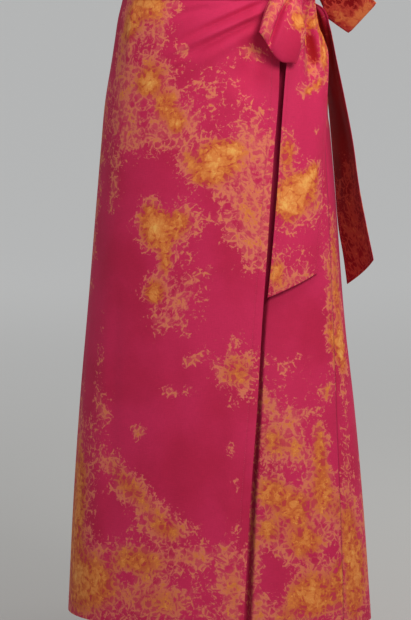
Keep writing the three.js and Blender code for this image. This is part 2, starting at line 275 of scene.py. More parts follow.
def flute_rise(angle, z):
    rise = np.zeros(np.broadcast(angle, z).shape)
    for flute in FLUTES:
        turn = np.mod(angle - flute["angle"] + 180.0, 360.0) - 180.0
        grown = ease(flute["start"] - z, 0.0, flute["start"] - HEM)
        rise += flute["rise"] * grown * bump(turn, flute["spread"])
    return rise


def fold_rise(folds, angle, z):
    """How far the folds of a table stand out at a place on the form."""
    rise = np.zeros(np.broadcast(angle, z).shape)
    wide = reach(z)
    for fold in folds:
        run = math.radians(fold["to_angle"] - fold["angle"]) * wide
        drop = fold["to_z"] - fold["z"]
        length = np.hypot(run, drop)
        sideways = np.radians(angle - fold["angle"]) * wide
        down = z - fold["z"]
        share = (sideways * run + down * drop) / length**2
        hang = fold["sag"] * 4 * np.clip(share, 0, 1) * (1 - np.clip(share, 0, 1))
        across = (sideways * drop - down * run) / length + np.where(run < 0, -hang, hang)
        fade = ease(share, -0.12, 0.2) * (1 - ease(share, 0.5, 1.1))
        rise += fold["rise"] * fade * bump(across, fold["half_width"] / 1.6)
    return rise


def form_point(angle, z, lift):
    """A point on the form at an angle and a height, moved outwards by lift."""
    shape = FORM.at(z)
    turn = np.radians(angle)
    depth = np.where(np.cos(turn) >= 0, shape["front"], shape["back"])
    out_x = np.sin(turn) / shape["half_width"]
    out_y = -np.cos(turn) / depth
    size = np.hypot(out_x, out_y)
    out = lift + flute_rise(angle, z)
    x = shape["shift"] + shape["half_width"] * np.sin(turn) + out_x / size * out
    y = -depth * np.cos(turn) + out_y / size * out
    return np.stack(np.broadcast_arrays(x, y, z), axis=-1)


def left_seam(z):
    return LEFT_SEAM.at(z)["angle"]


def overlap_edge(z):
    return OVERLAP_EDGE.at(z)["angle"]


def underlap_edge(z):
    return UNDERLAP_EDGE.at(z)["angle"]


def seam_angle(z):
    return np.degrees(SEAM_GAP / 2 / FORM.at(z)["front"])


def lap_lift(angle):
    return LAP_LIFT * ease(angle, LIFT_STARTS, LIFT_FULL)


def arc(from_angle, to_angle, z):
    """About the length of cloth between two angles at a height."""
    return np.radians(to_angle - from_angle) * reach(z)


# ---------------------------------------------------------------- cloth walls


class Cloth:
    """One cut piece as it hangs. face(u, v) gives its outer face, with u from 0 at the left to 1 at
    the right as seen from outside, and v from 0 at the top to 1 at the bottom."""

    def __init__(self, name, face, across, down, wall, middle=0.5):
        self.name = name
        self.face = face
        self.across = np.asarray(across, dtype=float)
        self.down = np.asarray(down, dtype=float)
        self.wall = wall
        self.u, self.v = np.meshgrid(self.across, self.down)
        self.outer = face(self.u, self.v)
        self.inner = self.outer - self.normals(self.u, self.v) * wall
        self.flat = self.unroll(middle)
        self.amounts = {}
        # How far the reverse shows on the face: where a tail turns over, and where its dark reverse is
        # painted in as shade.
        self.turned_or_painted_shade = np.zeros(self.u.shape)

    def normals(self, u, v):
        step = 0.002
        right = self.face(np.minimum(u + step, 1), v) - self.face(np.maximum(u - step, 0), v)
        down = self.face(u, np.minimum(v + step, 1)) - self.face(u, np.maximum(v - step, 0))
        return unit(np.cross(down, right))

    def unroll(self, middle):
        """Where each point lies on the flat cloth, in millimetres from the top of its middle line."""
        steps = np.linalg.norm(np.diff(self.outer, axis=1), axis=-1)
        run = np.concatenate([np.zeros((len(self.down), 1)), np.cumsum(steps, axis=1)], axis=1)
        column = int(np.argmin(np.abs(self.across - middle)))
        drops = np.linalg.norm(np.diff(self.outer, axis=0), axis=-1)
        fall = np.concatenate([np.zeros((1, len(self.across))), np.cumsum(drops, axis=0)], axis=0)
        return np.stack([run - run[:, column : column + 1], -fall], axis=-1)

    def widths(self):
        return self.flat[:, -1, 0] - self.flat[:, 0, 0]

    def line(self, u, v, lift):
        """Points of a stitch line on the face, raised by lift."""
        u, v = np.broadcast_arrays(np.asarray(u, dtype=float), np.asarray(v, dtype=float))
        return self.face(u, v) + self.normals(u, v) * lift

    def column_line(self, lift, from_left=None, from_right=None):
        """A stitch line down the piece, a steady distance from its left or right edge."""
        v = np.linspace(0, 1, 160)
        widths = np.interp(v, self.down, self.widths())
        u = from_left / widths if from_left is not None else 1 - from_right / widths
        return self.line(u, v, lift)


def grid_faces(rows, columns):
    """The four-cornered faces of a closed wall: outer grid, inner grid and the four rims."""
    outer = np.arange(rows * columns).reshape(rows, columns)
    inner = outer + rows * columns
    faces = []

    def join(a, b, c, d):
        faces.append(np.stack([a.ravel(), b.ravel(), c.ravel(), d.ravel()], axis=-1))

    join(outer[:-1, :-1], outer[1:, :-1], outer[1:, 1:], outer[:-1, 1:])
    join(inner[:-1, 1:], inner[1:, 1:], inner[1:, :-1], inner[:-1, :-1])
    join(outer[0, :-1], outer[0, 1:], inner[0, 1:], inner[0, :-1])
    join(outer[-1, 1:], outer[-1, :-1], inner[-1, :-1], inner[-1, 1:])
    join(outer[1:, 0], outer[:-1, 0], inner[:-1, 0], inner[1:, 0])
    join(outer[:-1, -1], outer[1:, -1], inner[1:, -1], inner[:-1, -1])
    return np.concatenate(faces).tolist()


def add_object(name, data):
    """An object of a mesh, a lamp or a camera, in the scene."""
    thing = bpy.data.objects.new(name, data)
    bpy.context.scene.collection.objects.link(thing)
    return thing


def add_mesh(name, points, faces, flat, amounts):
    """An object of a mesh in metres, with the flat place of each point as its cloth map."""
    mesh = bpy.data.meshes.new(name)
    mesh.from_pydata((points * MM).tolist(), [], faces)
    mesh.update()
    corners = np.empty(len(mesh.loops), dtype=np.int32)
    mesh.loops.foreach_get("vertex_index", corners)
    cloth_map = mesh.uv_layers.new(name="cloth")
    cloth_map.data.foreach_set("uv", (flat[corners] * MM).astype(np.float32).ravel())
    for title, values in amounts.items():
        attribute = mesh.attributes.new(title, "FLOAT", "POINT")
        attribute.data.foreach_set("value", np.asarray(values, dtype=np.float32))
    mesh.polygons.foreach_set("use_smooth", [True] * len(mesh.polygons))
    mesh.set_sharp_from_angle(angle=math.radians(50))
    return add_object(name, mesh)


def build_cloth(cloth, finish, shift=(0, 0), reverse_out=False):
    """The closed wall of a piece of cloth. The amounts say, point by point, how the print and the sewing lie
    on it, and reverse is 1 on the side of the cloth without the print's full strength. On the face it also
    rises where a tail turns over, and where the dark reverse is painted in as shade in a deep fold."""
    rows, columns = cloth.u.shape
    points = np.concatenate([cloth.outer.reshape(-1, 3), cloth.inner.reshape(-1, 3)])
    flat = np.concatenate([cloth.flat.reshape(-1, 2)] * 2) + np.array(shift)
    count = rows * columns
    amounts = {title: np.tile(values.ravel(), 2) for title, values in cloth.amounts.items()}
    # The face shows the reverse where a tail turns over, and where the dark reverse is painted in as shade.
    sides = np.concatenate([cloth.turned_or_painted_shade.ravel(), np.ones(count)])
    amounts["reverse"] = 1 - sides if reverse_out else sides
    piece = add_mesh(cloth.name, points, grid_faces(rows, columns), flat, amounts)
    piece.data.materials.append(finish)
    return piece


# ---------------------------------------------------------------- where the print lies

# Each row is a patch of the print: its middle, its reach across and down, how far it leans, how
# densely it is worked (web) and how far it has turned gold. A web below nothing clears the ground.
OVERLAP_PRINT = Rows(
    "angle z across down web gold lean",
    (-40, -38, 36, 26, 0.95, 0.55),
    (-48, -62, 15, 20, 1.0, 0.85),
    (-35, -25, 20, 12, 1.0, 0.8),
    (-56, -90, 16, 44, 0.75, 0.2),
    (-26, -56, 15, 24, 0.8, 0.15),
    (-27, -132, 25, 24, 0.9, 0.45, 15),
    (-29, -150, 16, 14, 1.0, 0.85),
    (-17, -180, 18, 24, 0.95, 0.6),
    (-11, -206, 10, 16, 1.0, 0.8),
    (-4, -199, 12, 12, 0.8, 0.15),
    (-46, -178, 32, 66, 0.78, 0.05),
    (-26, -226, 36, 24, 0.62, 0.05),
    (-10, -96, 9, 11, 0.6, 0.1),
    (32, -96, 16, 12, 0.52, 0.05),
    (8, -150, 28, 44, 0.36, 0.0, -35),
    (9, -262, 24, 27, 1.0, 1.0),
    (15, -244, 15, 12, 1.0, 0.85),
    (3, -286, 18, 14, 0.95, 0.7),
    (-5, -258, 13, 15, 0.88, 0.3),
    (28, -240, 24, 44, 0.74, 0.1),
    (24, -335, 33, 56, 0.84, 0.2),
    (28, -390, 14, 34, 0.6),
    (-50, -310, 12, 30, 0.55, 0.1),
    (-19, -368, 26, 28, 1.0, 1.15),
    (-8, -356, 17, 18, 0.95, 0.5),
    (-25, -344, 12, 14, 0.9, 0.5),
    (-15, -418, 10, 22, 0.86, 0.5),
    (-20, -466, 15, 18, 0.95, 0.8),
    (-6, -466, 22, 38, 0.62),
    (-15, -512, 20, 14, 0.56),
    (-1, -566, 13, 9, 0.62, 0.2, 20),
    (17, -582, 24, 32, 0.85, 0.4),
    (-9, -616, 17, 9, 0.4),
    (-25, -684, 11, 10, 0.68, 0.2),
    (-52, -570, 9, 44, 0.45, 0.05),
    (-46, -656, 14, 26, 0.58, 0.1),
    (14, -702, 6, 12, 0.4),
    (16, -752, 6, 12, 0.5),
    (-66, -800, 36, 84, 0.98, 0.78),
    (-60, -925, 44, 52, 0.96, 0.72),
    (-29, -768, 56, 19, 0.9, 0.4, -40),
    (-12, -826, 28, 18, 0.9, 0.45, -25),
    (-24, -880, 46, 24, 0.93, 0.5),
    (0, -866, 28, 13, 0.74, 0.2, 8),
    (-45, -925, 42, 38, 0.94, 0.55),
    (-14, -938, 56, 30, 0.8, 0.3),
    (14, -905, 14, 58, 0.88, 0.25),
    (-78, -700, 30, 60, 0.5, 0.1),
    (-80, -240, 30, 80, 0.8, 0.5),
    (-76, -420, 22, 60, 0.5, 0.2),
    (-80, -880, 36, 70, 0.9, 0.6),
    (-40, -828, 17, 15, -0.95),
    (-29, -906, 11, 11, -0.7),
    (-5, -906, 13, 10, -0.6),
    (-34, -60, 13, 9, -0.5),
)
UNDERLAP_PRINT = Rows(
    "angle z across down web gold lean",
    (68, -90, 18, 44, 0.85, 0.6),
    (52, -190, 30, 50, 0.6, 0.2),
    (62, -330, 26, 40, 0.7, 0.4),
    (73, -440, 12, 50, 0.7, 0.3),
    (70, -540, 15, 50, 0.82, 0.5),
    (38, -574, 24, 19, 0.5, 0.1),
    (61, -618, 13, 17, 0.68, 0.3),
    (30, -634, 14, 20, 0.76, 0.1),
    (40, -652, 18, 18, 0.76, 0.15),
    (31, -690, 18, 26, 0.92, 0.4),
    (41, -700, 20, 20, 0.86, 0.3),
    (54, -712, 15, 50, 0.93, 0.5),
    (30, -768, 22, 27, 0.95, 0.55),
    (40, -792, 24, 28, 0.97, 0.65),
    (54, -772, 20, 32, 0.93, 0.5),
    (64, -800, 22, 28, 0.85, 0.35),
    (28, -826, 18, 20, 0.95, 0.45),
    (44, -846, 30, 26, 0.95, 0.6),
    (46, -928, 38, 34, 0.97, 0.76),
    (64, -910, 26, 44, 0.95, 0.66),
    (24, -950, 12, 24, 0.8, 0.15),
    (34, -958, 16, 18, 0.9, 0.3),
    (23, -870, 7, 50, 0.7, 0.1),
    (57, -862, 14, 12, -0.85),
    (30, -892, 14, 20, -0.97),
    (47, -130, 19, 70, -0.98),
    (42, -225, 18, 80, -0.98),
    (37, -330, 18, 80, -0.98),
    (37, -742, 9, 8, -0.6),
)
BACK_PRINT = Rows(
    "angle z across down web gold lean",
    (80, -400, 14, 44, 0.75, 0.4),
    (79, -480, 16, 40, 0.85, 0.5),
    (77, -556, 18, 34, 1.0, 0.9),
    (75, -640, 10, 40, 0.5, 0.2),
    (72, -740, 12, 40, 0.5, 0.2),
    (70, -830, 22, 46, 0.85, 0.5),
    (74, -895, 28, 56, 0.97, 0.75),
    (70, -946, 20, 34, 0.85, 0.5),
    (92, -800, 26, 70, 0.6, 0.3),
    (96, -140, 34, 60, 0.8, 0.5),
    (124, -86, 40, 30, 0.85, 0.6),
    (118, -250, 30, 34, 1.0, 1.0),
    (140, -300, 36, 50, 0.75, 0.2, 20),
    (104, -360, 24, 40, 0.6, 0.1),
    (168, -70, 30, 22, 0.5, 0.1),
    (176, -210, 44, 38, 0.9, 0.8),
    (196, -262, 30, 46, 0.7, 0.2, -20),
    (160, -430, 32, 30, 1.0, 1.0),
    (176, -478, 36, 44, 0.75, 0.2, 15),
    (214, -120, 40, 40, 0.85, 0.6),
    (238, -200, 36, 60, 0.8, 0.4),
    (222, -360, 30, 32, 0.95, 0.9),
    (244, -430, 28, 50, 0.6, 0.2),
    (206, -560, 26, 22, 0.6, 0.2),
    (130, -560, 26, 34, 0.8, 0.5),
    (112, -640, 22, 26, 0.5, 0.1),
    (150, -700, 18, 14, 0.6, 0.2),
    (232, -640, 22, 34, 0.65, 0.3),
    (188, -720, 14, 12, 0.5, 0.1),
    (104, -900, 50, 60, 0.9, 0.7),
    (134, -840, 44, 30, 0.85, 0.5, 30),
    (152, -930, 60, 32, 0.85, 0.5),
    (184, -880, 40, 24, 0.7, 0.3),
    (208, -926, 54, 40, 0.92, 0.7),
    (236, -850, 44, 50, 0.88, 0.6, -20),
    (258, -930, 40, 44, 0.9, 0.7),
    (262, -760, 26, 50, 0.6, 0.3),
    (256, -90, 30, 60, 0.8, 0.5),
    (102, 4, 34, 20, 0.75, 0.4),
    (150, 10, 44, 18, 0.6, 0.1),
    (205, -2, 46, 20, 0.8, 0.5),
    (244, 8, 26, 20, 0.7, 0.3),
    (300, -6, 36, 24, 0.7, 0.3),
)


def print_amounts(patches, offset_of):
    """How densely the print is worked and how gold it is, from a table of patches. offset_of gives
    how far every point of the cloth is from a patch's middle, across and down."""
    plain = ungilded = cleared = 1.0
    for patch in patches:
        across, down = offset_of(patch)
        lean = math.radians(patch["lean"])
        along = across * math.cos(lean) + down * math.sin(lean)
        athwart = down * math.cos(lean) - across * math.sin(lean)
        far = np.hypot(along / patch["across"], athwart / patch["down"])
        if patch["web"] < 0:
            cleared = cleared * (1 + patch["web"] * bump(far, 0.75))
            continue
        plain = plain * (1 - min(patch["web"], 0.98) * bump(far, 0.95))
        ungilded = ungilded * (1 - min(patch["gold"], 0.98) * bump(far, 0.7))
    return (1 - plain) * cleared, (1 - ungilded) * cleared


# ---------------------------------------------------------------- shader sums


class Wire:
    """One output of a material's nodes. Sums on it add Math nodes."""

    def __init__(self, finish, socket):
        self.finish = finish
        self.socket = socket

    def maths(self, operation, *values):
        node = self.finish.node("ShaderNodeMath", {"operation": operation}, dict(enumerate(values)))
        return Wire(self.finish, node.outputs[0])

    def __add__(self, other):
        return self.maths("ADD", self, other)

    __radd__ = __add__

    def __sub__(self, other):
        return self.maths("SUBTRACT", self, other)

    def __rsub__(self, other):
        return self.maths("SUBTRACT", other, self)

    def __mul__(self, other):
        return self.maths("MULTIPLY", self, other)

    __rmul__ = __mul__

    def __truediv__(self, other):
        return self.maths("DIVIDE", self, other)

    def __abs__(self):
        return self.maths("ABSOLUTE", self)

    def sine(self):
        return self.maths("SINE", self)

    def at_least(self, other):
        return self.maths("MAXIMUM", self, other)

    def rise(self, start, end):
        """0 before start, 1 after end and a soft rise between."""
        node = self.finish.node(
            "ShaderNodeMapRange",
            {"interpolation_type": "SMOOTHSTEP"},
            {"Value": self, "From Min": start, "From Max": end},
        )
        return Wire(self.finish, node.outputs["Result"])


class Finish:
    """A material and the nodes that make it."""

    def __init__(self, name):
        self.material = bpy.data.materials.new(name)
        self.material.use_nodes = True
        self.tree = self.material.node_tree
        self.tree.nodes.clear()

    def node(self, kind, settings, sockets):
        """A node of a kind, with its settings made first and then its sockets' values or links."""
        node = self.tree.nodes.new(kind)
        for setting, value in settings.items():
            setattr(node, setting, value)
        for socket, value in sockets.items():
            if isinstance(value, Wire):
                self.tree.links.new(value.socket, node.inputs[socket])
            else:
                node.inputs[socket].default_value = value
        return node

    def wire(self, node, output):
        return Wire(self, node.outputs[output])

    def amount(self, name):
        """A number that the piece carries point by point."""
        node = self.node("ShaderNodeAttribute", {"attribute_type": "GEOMETRY", "attribute_name": name}, {})
        return self.wire(node, "Fac")

    def cloth_place(self):
        return self.wire(self.node("ShaderNodeUVMap", {"uv_map": "cloth"}, {}), "UV")

    def object_place(self):
        return self.wire(self.node("ShaderNodeTexCoord", {}, {}), "Object")

    def vector(self, operation, first, second):
        second_socket = "Scale" if operation == "SCALE" else 1
        node = self.node("ShaderNodeVectorMath", {"operation": operation}, {0: first, second_socket: second})
        output = "Value" if operation == "LENGTH" else "Vector"
        return self.wire(node, output)

    def noise(self, place, size, detail=2.0, rough=0.5, output="Fac"):
        """Cloudy noise whose patches are about size metres across."""
        node = self.node(
            "ShaderNodeTexNoise",
            {"noise_dimensions": "2D"},
            {"Vector": place, "Scale": 1.0 / size, "Detail": detail, "Roughness": rough},
        )
        return self.wire(node, output)

    def cell_edges(self, place, size):
        """How far a place is from the edge of its cell, for cells about size metres across."""
        node = self.node(
            "ShaderNodeTexVoronoi",
            {"voronoi_dimensions": "2D", "feature": "DISTANCE_TO_EDGE"},
            {"Vector": place, "Scale": 1.0 / size, "Randomness": 1.0},
        )
        return self.wire(node, "Distance")

    def stir(self, place, size, amount):
        """The place moved about by cloudy noise."""
        cloud = self.noise(place, size, detail=1.0, output="Color")
        centred = self.vector("SUBTRACT", cloud, (0.5, 0.5, 0.5))
        return self.vector("ADD", place, self.vector("SCALE", centred, amount))

    def blend(self, first, second, factor):
        """Two colours mixed by a factor."""
        node = self.node("ShaderNodeMix", {"data_type": "RGBA"}, {0: factor, 6: first, 7: second})
        return Wire(self, node.outputs[2])

    def parts(self, vector):
        node = self.node("ShaderNodeSeparateXYZ", {}, {0: vector})
        return self.wire(node, "X"), self.wire(node, "Y")

    def bumped(self, height, distance):
        node = self.node("ShaderNodeBump", {}, {"Height": height, "Distance": distance, "Strength": 1.0})
        return self.wire(node, "Normal")

    def close(self, **sockets):
        """Ends the material in a principled shader with these sockets, and gives the material."""
        named = {name.replace("_", " "): value for name, value in sockets.items()}
        shader = self.node("ShaderNodeBsdfPrincipled", {}, named)
        output = self.node("ShaderNodeOutputMaterial", {}, {})
        self.tree.links.new(shader.outputs[0], output.inputs["Surface"])
        return self.material


def dye(red, green, blue):
    """A colour written as a dyer's 0 to 255, as the linear colour that the nodes take."""
    share = [value / 255 for value in (red, green, blue)]
    linear = [value / 12.92 if value <= 0.04045 else ((value + 0.055) / 1.055) ** 2.4 for value in share]
    return (*linear, 1.0)


# ---------------------------------------------------------------- finishes

# The dyes of the printed side from its plain ground to its lightest gold, of the reverse, and of
# the thread. Lace and the veil of tint round it are deeper where the print has turned gold.
GROUND, DEEP_GROUND = dye(206, 43, 88), dye(192, 35, 74)
VEIL, DEEP_VEIL = dye(212, 82, 92), dye(196, 68, 58)
LACE, DEEP_LACE = dye(224, 120, 92), dye(206, 98, 52)
GOLD, PALE_GOLD, LIGHT_GOLD = dye(220, 122, 58), dye(232, 142, 72), dye(244, 178, 92)
REVERSE_GROUND, DEEP_REVERSE_GROUND = dye(158, 14, 24), dye(134, 8, 14)
REVERSE_LACE, REVERSE_GOLD = dye(190, 62, 48), dye(222, 118, 66)
THREAD, DEEP_THREAD = dye(206, 46, 90), dye(190, 36, 76)

# Metres: the print's leaves, petals and curls, and the weave's threads.
LEAF_SIZE = 0.014
PETAL_SIZE = 0.018
CURL_SIZE = 0.018
THREAD_PITCH = 0.0011


def bleached_print(finish, place):
    """How far the dye is bleached out at each place, from 0 in the plain ground to about 1 in gold.
    Gold flower heads with lobed edges lie in a lace of leaf outlines, curls and specks."""
    web = finish.amount("web")
    gold = finish.amount("gold")
    stirred = finish.stir(finish.stir(place, 0.034, 0.012), 0.012, 0.0042)
    broad = finish.noise(place, 0.026, detail=2.0, rough=0.6) - 0.5
    fine = finish.noise(stirred, 0.0085, detail=2.0, rough=0.6) - 0.5
    spotty = finish.noise(place, 0.0048, detail=2.0, rough=0.6) - 0.5
    worked = web + broad * 1.1 + fine * 0.7

    leaves = finish.cell_edges(stirred, LEAF_SIZE)
    petals = finish.cell_edges(stirred, PETAL_SIZE)
    swirl = finish.noise(finish.stir(place, CURL_SIZE, 0.012), CURL_SIZE, detail=1.0) - 0.5
    thick = 0.055 + worked.rise(0.2, 0.95) * 0.15
    leaf_lines = 1 - (leaves / thick).rise(0.40, 1.50)
    curls = 1 - (abs(swirl) / (thick * 0.42)).rise(0.40, 1.50)
    broken = (worked + spotty * 0.8).rise(0.16, 0.52) * web.rise(0.03, 0.2)
    lines = leaf_lines.at_least(curls * 0.95) * broken

    blots = (worked + fine * 0.9 + petals * 0.6).rise(0.86, 1.16) * web.rise(0.1, 0.35)
    heads = (gold + broad * 0.5 + fine * 0.7 + petals * 0.6).rise(0.44, 0.78)
    heads = heads * gold.rise(0.1, 0.3)
    holes = (fine + spotty * 0.6).rise(0.06, 0.18) * (1 - gold.rise(0.5, 0.9) * 0.85)
    near_lace = (web + broad * 0.8).rise(0.14, 0.34) * web.rise(0.02, 0.14)
    specks = (spotty + fine * 0.5).rise(0.12, 0.20) * near_lace
    mist = (web + broad * 1.3).rise(0.1, 0.9) * 0.24

    tone = 0.35 + worked.rise(0.5, 1.2) * 0.12 + gold * 0.30 + broad * 0.5 + fine * 0.35
    lace = (lines * (tone + spotty * 0.4)).at_least(specks * 0.32).at_least(mist)
    filled = blots * (tone + 0.12 - spotty * 0.4)
    rich = 0.66 + gold.rise(0.5, 1.0) * 0.28 + broad * 0.5 + fine * 0.5 + spotty * 0.3
    veins = (1 - petals.rise(0.01, 0.08)) * (1 - gold.rise(0.8, 1.0)) * 0.2
    return lace.at_least(filled * (1 - holes * 0.6)).at_least(heads * (rich - veins))


def thread_relief(finish, place):
    """The relief of a plain weave with uneven threads, in parts of its own depth."""
    across, down = finish.parts(place)
    pitch = 2 * math.pi / THREAD_PITCH
    weave = (across * pitch).sine() * (down * pitch).sine() * 0.5
    weft = finish.noise(finish.vector("MULTIPLY", place, (0.12, 1.0, 1.0)), 0.0012, detail=1.0)
    warp = finish.noise(finish.vector("MULTIPLY", place, (1.0, 0.12, 1.0)), 0.0012, detail=1.0)
    return weave, weft, warp


def cotton_colour(finish, place, bleach):
    """The colour of each side: the print at full strength, and the dark and dull reverse."""
    cloudy = finish.noise(place, 0.14, detail=3.0).rise(0.35, 0.7)
    warm = finish.amount("gold").rise(0.08, 0.5)
    face = finish.blend(GROUND, DEEP_GROUND, cloudy)
    face = finish.blend(face, finish.blend(VEIL, DEEP_VEIL, warm), bleach.rise(0.06, 0.28))
    face = finish.blend(face, finish.blend(LACE, DEEP_LACE, warm), bleach.rise(0.26, 0.46))
    face = finish.blend(face, GOLD, bleach.rise(0.46, 0.70))
    face = finish.blend(face, PALE_GOLD, bleach.rise(0.66, 0.90))
    face = finish.blend(face, LIGHT_GOLD, bleach.rise(0.84, 1.08))
    back = finish.blend(REVERSE_GROUND, DEEP_REVERSE_GROUND, cloudy)
    back = finish.blend(back, REVERSE_LACE, bleach.rise(0.08, 0.4))
    back = finish.blend(back, REVERSE_GOLD, bleach.rise(0.45, 0.95))
    return finish.blend(face, back, finish.amount("reverse").rise(0.15, 0.95))


def sewing_marks(finish, place):
    """How much the hems, the stitch lines and the seams darken the cloth and raise or pull it in."""
    hem, edge, seam = [finish.amount(name) for name in ("hem", "edge", "seam")]
    folded = (1 - hem.rise(-0.0006, 0.0006)).at_least(1 - edge.rise(-0.0006, 0.0006))
    stitched = (1 - abs(hem).rise(0.0004, 0.0016)).at_least(1 - abs(edge).rise(0.0004, 0.0016))
    near = (1 - abs(hem).rise(0.0, 0.009)).at_least(1 - abs(edge).rise(0.0, 0.007))
    pucker = finish.noise(place, 0.006, detail=1.0) - 0.5
    shade = 1 - stitched * 0.03 - (1 - seam.rise(0.0, 0.0024)) * 0.14
    relief = folded * 0.2 - stitched * 0.25 + pucker * near * 0.9 - (1 - seam.rise(0.0, 0.002)) * 0.8
    return shade, relief


def printed_cotton(name, roughness=0.72, depth=1.0):
    """Magenta cotton printed by bleaching. The amounts on a piece say where the print, the hems and
    the seams lie, and depth is how deeply the cloth is creased."""
    finish = Finish(name)
    place = finish.cloth_place()
    bleach = bleached_print(finish, place)
    weave, weft, warp = thread_relief(finish, place)
    shade, sewing = sewing_marks(finish, place)
    threads = 1 + (weft - 0.5) * 0.16 + (warp - 0.5) * 0.12
    colour = finish.vector("SCALE", cotton_colour(finish, place, bleach), threads * shade)
    creased = finish.noise(finish.stir(place, 0.05, 0.03), 0.045, detail=3.0, rough=0.55) * 1.2
    height = weave * 0.10 + weft * 0.14 + warp * 0.12 + sewing + creased * depth
    return finish.close(
        Base_Color=colour,
        Roughness=roughness + (weft - 0.5) * 0.2 - bleach * 0.05,
        Normal=finish.bumped(height, 0.0006),
        Sheen_Weight=0.06,
        Sheen_Roughness=0.4,
        Sheen_Tint=(1.0, 0.5, 0.62, 1.0),
        Specular_IOR_Level=0.14,
    )


def sewing_thread():
    """Magenta polyester thread, twisted and a little shiny."""
    finish = Finish("sewing_thread")
    place = finish.object_place()
    twist = finish.noise(place, 0.0012, detail=1.0)
    colour = finish.blend(THREAD, DEEP_THREAD, twist.rise(0.35, 0.65))
    return finish.close(
        Base_Color=colour,
        Roughness=0.45 + twist * 0.15,
        Normal=finish.bumped(twist, 0.0002),
        Sheen_Weight=0.2,
        Sheen_Roughness=0.4,
    )


def studio_grey_painted_shade():
    finish = Finish("studio_grey_painted_shade")
    place = finish.object_place()
    cloud = finish.noise(place, 3.0, detail=1.0)
    # The floor is painted darker near the skirt and paler far out: painted shade round the skirt, stirred by
    # cloudy noise.
    far = finish.vector("LENGTH", place, (0, 0, 0)) + cloud
    colour = finish.blend(dye(178, 176, 172), dye(226, 226, 225), far.rise(1.0, 6.5))
    return finish.close(Base_Color=colour, Roughness=0.95, Specular_IOR_Level=0.1)


# ---------------------------------------------------------------- panels and waistband


def rows_between(*stretches):
    """Shares of the height from the top, closer together in some stretches: (top, bottom, rows)."""
    heights = []
    for top, bottom, count in stretches:
        heights.extend(np.linspace(top, bottom, count, endpoint=False))
    heights.append(stretches[-1][1])
    return (np.array(heights) - heights[0]) / (heights[-1] - heights[0])


def sewn_amounts(cloth, hem=None, left=None, right=None, seams=()):
    """How far each point is past the stitch line of its hem, of its folded edges and from its seams,
    in metres. A hem is folded where the distance is below nothing."""
    far = np.full(cloth.u.shape, 1.0)
    to_left = (cloth.flat[..., 0] - cloth.flat[:, :1, 0]) * MM
    to_right = (cloth.flat[:, -1:, 0] - cloth.flat[..., 0]) * MM
    to_bottom = (cloth.flat[..., 1] - cloth.flat[-1:, :, 1]) * MM
    cloth.amounts["hem"] = far if hem is None else to_bottom - hem * MM
    edges = [far]
    if left is not None:
        edges.append(to_left - left * MM)
    if right is not None:
        edges.append(to_right - right * MM)
    cloth.amounts["edge"] = np.minimum.reduce(edges)
    sides = {"left": to_left, "right": to_right, "top": -cloth.flat[..., 1] * MM}
    cloth.amounts["seam"] = np.minimum.reduce([far] + [sides[name] for name in seams])


def form_cloth(name, span, lift, heights, columns, wall, middle, top=PANEL_TOP, bottom=HEM):
    """Cloth that follows the form between two edges, lifted off it by its folds."""

    def face(u, v):
        z = mix(top, bottom, v)
        start, end = span(z)
        angle = mix(start, end, u)
        return form_point(angle, z, lift(angle, z))

    return Cloth(name, face, np.linspace(0, 1, columns), heights, wall, middle)


def printed_at_angles(cloth, span, patches, top=PANEL_TOP, bottom=HEM):
    z = mix(top, bottom, cloth.v)
    start, end = span(z)
    angle = mix(start, end, cloth.u)

    def offset_of(patch):
        return arc(patch["angle"], angle, z), z - patch["z"]

    cloth.amounts["web"], cloth.amounts["gold"] = print_amounts(patches, offset_of)


def back_span(z):
    return left_seam(z) + seam_angle(z), 360 + RIGHT_SEAM - seam_angle(z)


def overlap_span(z):
    return RIGHT_SEAM + seam_angle(z), overlap_edge(z)


def underlap_span(z):
    return underlap_edge(z), left_seam(z) - seam_angle(z)


def seam_dip(angle, z, *seams):
    """The cloth turns in a little where it is sewn to its neighbour."""
    dip = 0.0
    for seam in seams:
        dip = dip + SEAM_DIP * bump(arc(seam, angle, z), SEAM_DIP_SPREAD)
    return dip


def back_panel():
    def lift(angle, z):
        waves = np.sin(np.radians(angle * 9)) + 0.6 * np.sin(np.radians(angle * 23 + 40))
        gathers = GATHER_RISE * waves * bump(z - PANEL_TOP, 26)
        seams = seam_dip(angle, z, left_seam(z), 360 + RIGHT_SEAM)
        return fold_rise(BACK_CREASES, angle, z) + gathers - seams

    heights = rows_between((PANEL_TOP, -150, 44), (-150, HEM, 166))
    cloth = form_cloth("back_panel_cloth", back_span, lift, heights, 200, PANEL_WALL, 0.5)
    printed_at_angles(cloth, back_span, BACK_PRINT)
    sewn_amounts(cloth, hem=HEM_WIDTH, seams=("left", "right", "top"))
    return cloth


def front_underlap():
    def lift(angle, z):
        hollow = UNDER_HOLLOW.at(z)
        beyond = arc(overlap_edge(z), angle, z)
        sunk = hollow["depth"] * (1 - ease(beyond, hollow["reach"] * 0.2, hollow["reach"]))
        dished = UNDER_DISH * bump(beyond, 20) * ease(-z, 110, 200)
        return fold_rise(UNDER_CREASES, angle, z) - sunk - dished - seam_dip(angle, z, left_seam(z))

    heights = rows_between((PANEL_TOP, -150, 40), (-150, HEM, 160))
    cloth = form_cloth("front_underlap_cloth", underlap_span, lift, heights, 210, PANEL_WALL, 0.4)
    printed_at_angles(cloth, underlap_span, UNDERLAP_PRINT)
    sewn_amounts(cloth, hem=HEM_WIDTH, left=EDGE_HEM_WIDTH, seams=("right", "top"))
    return cloth


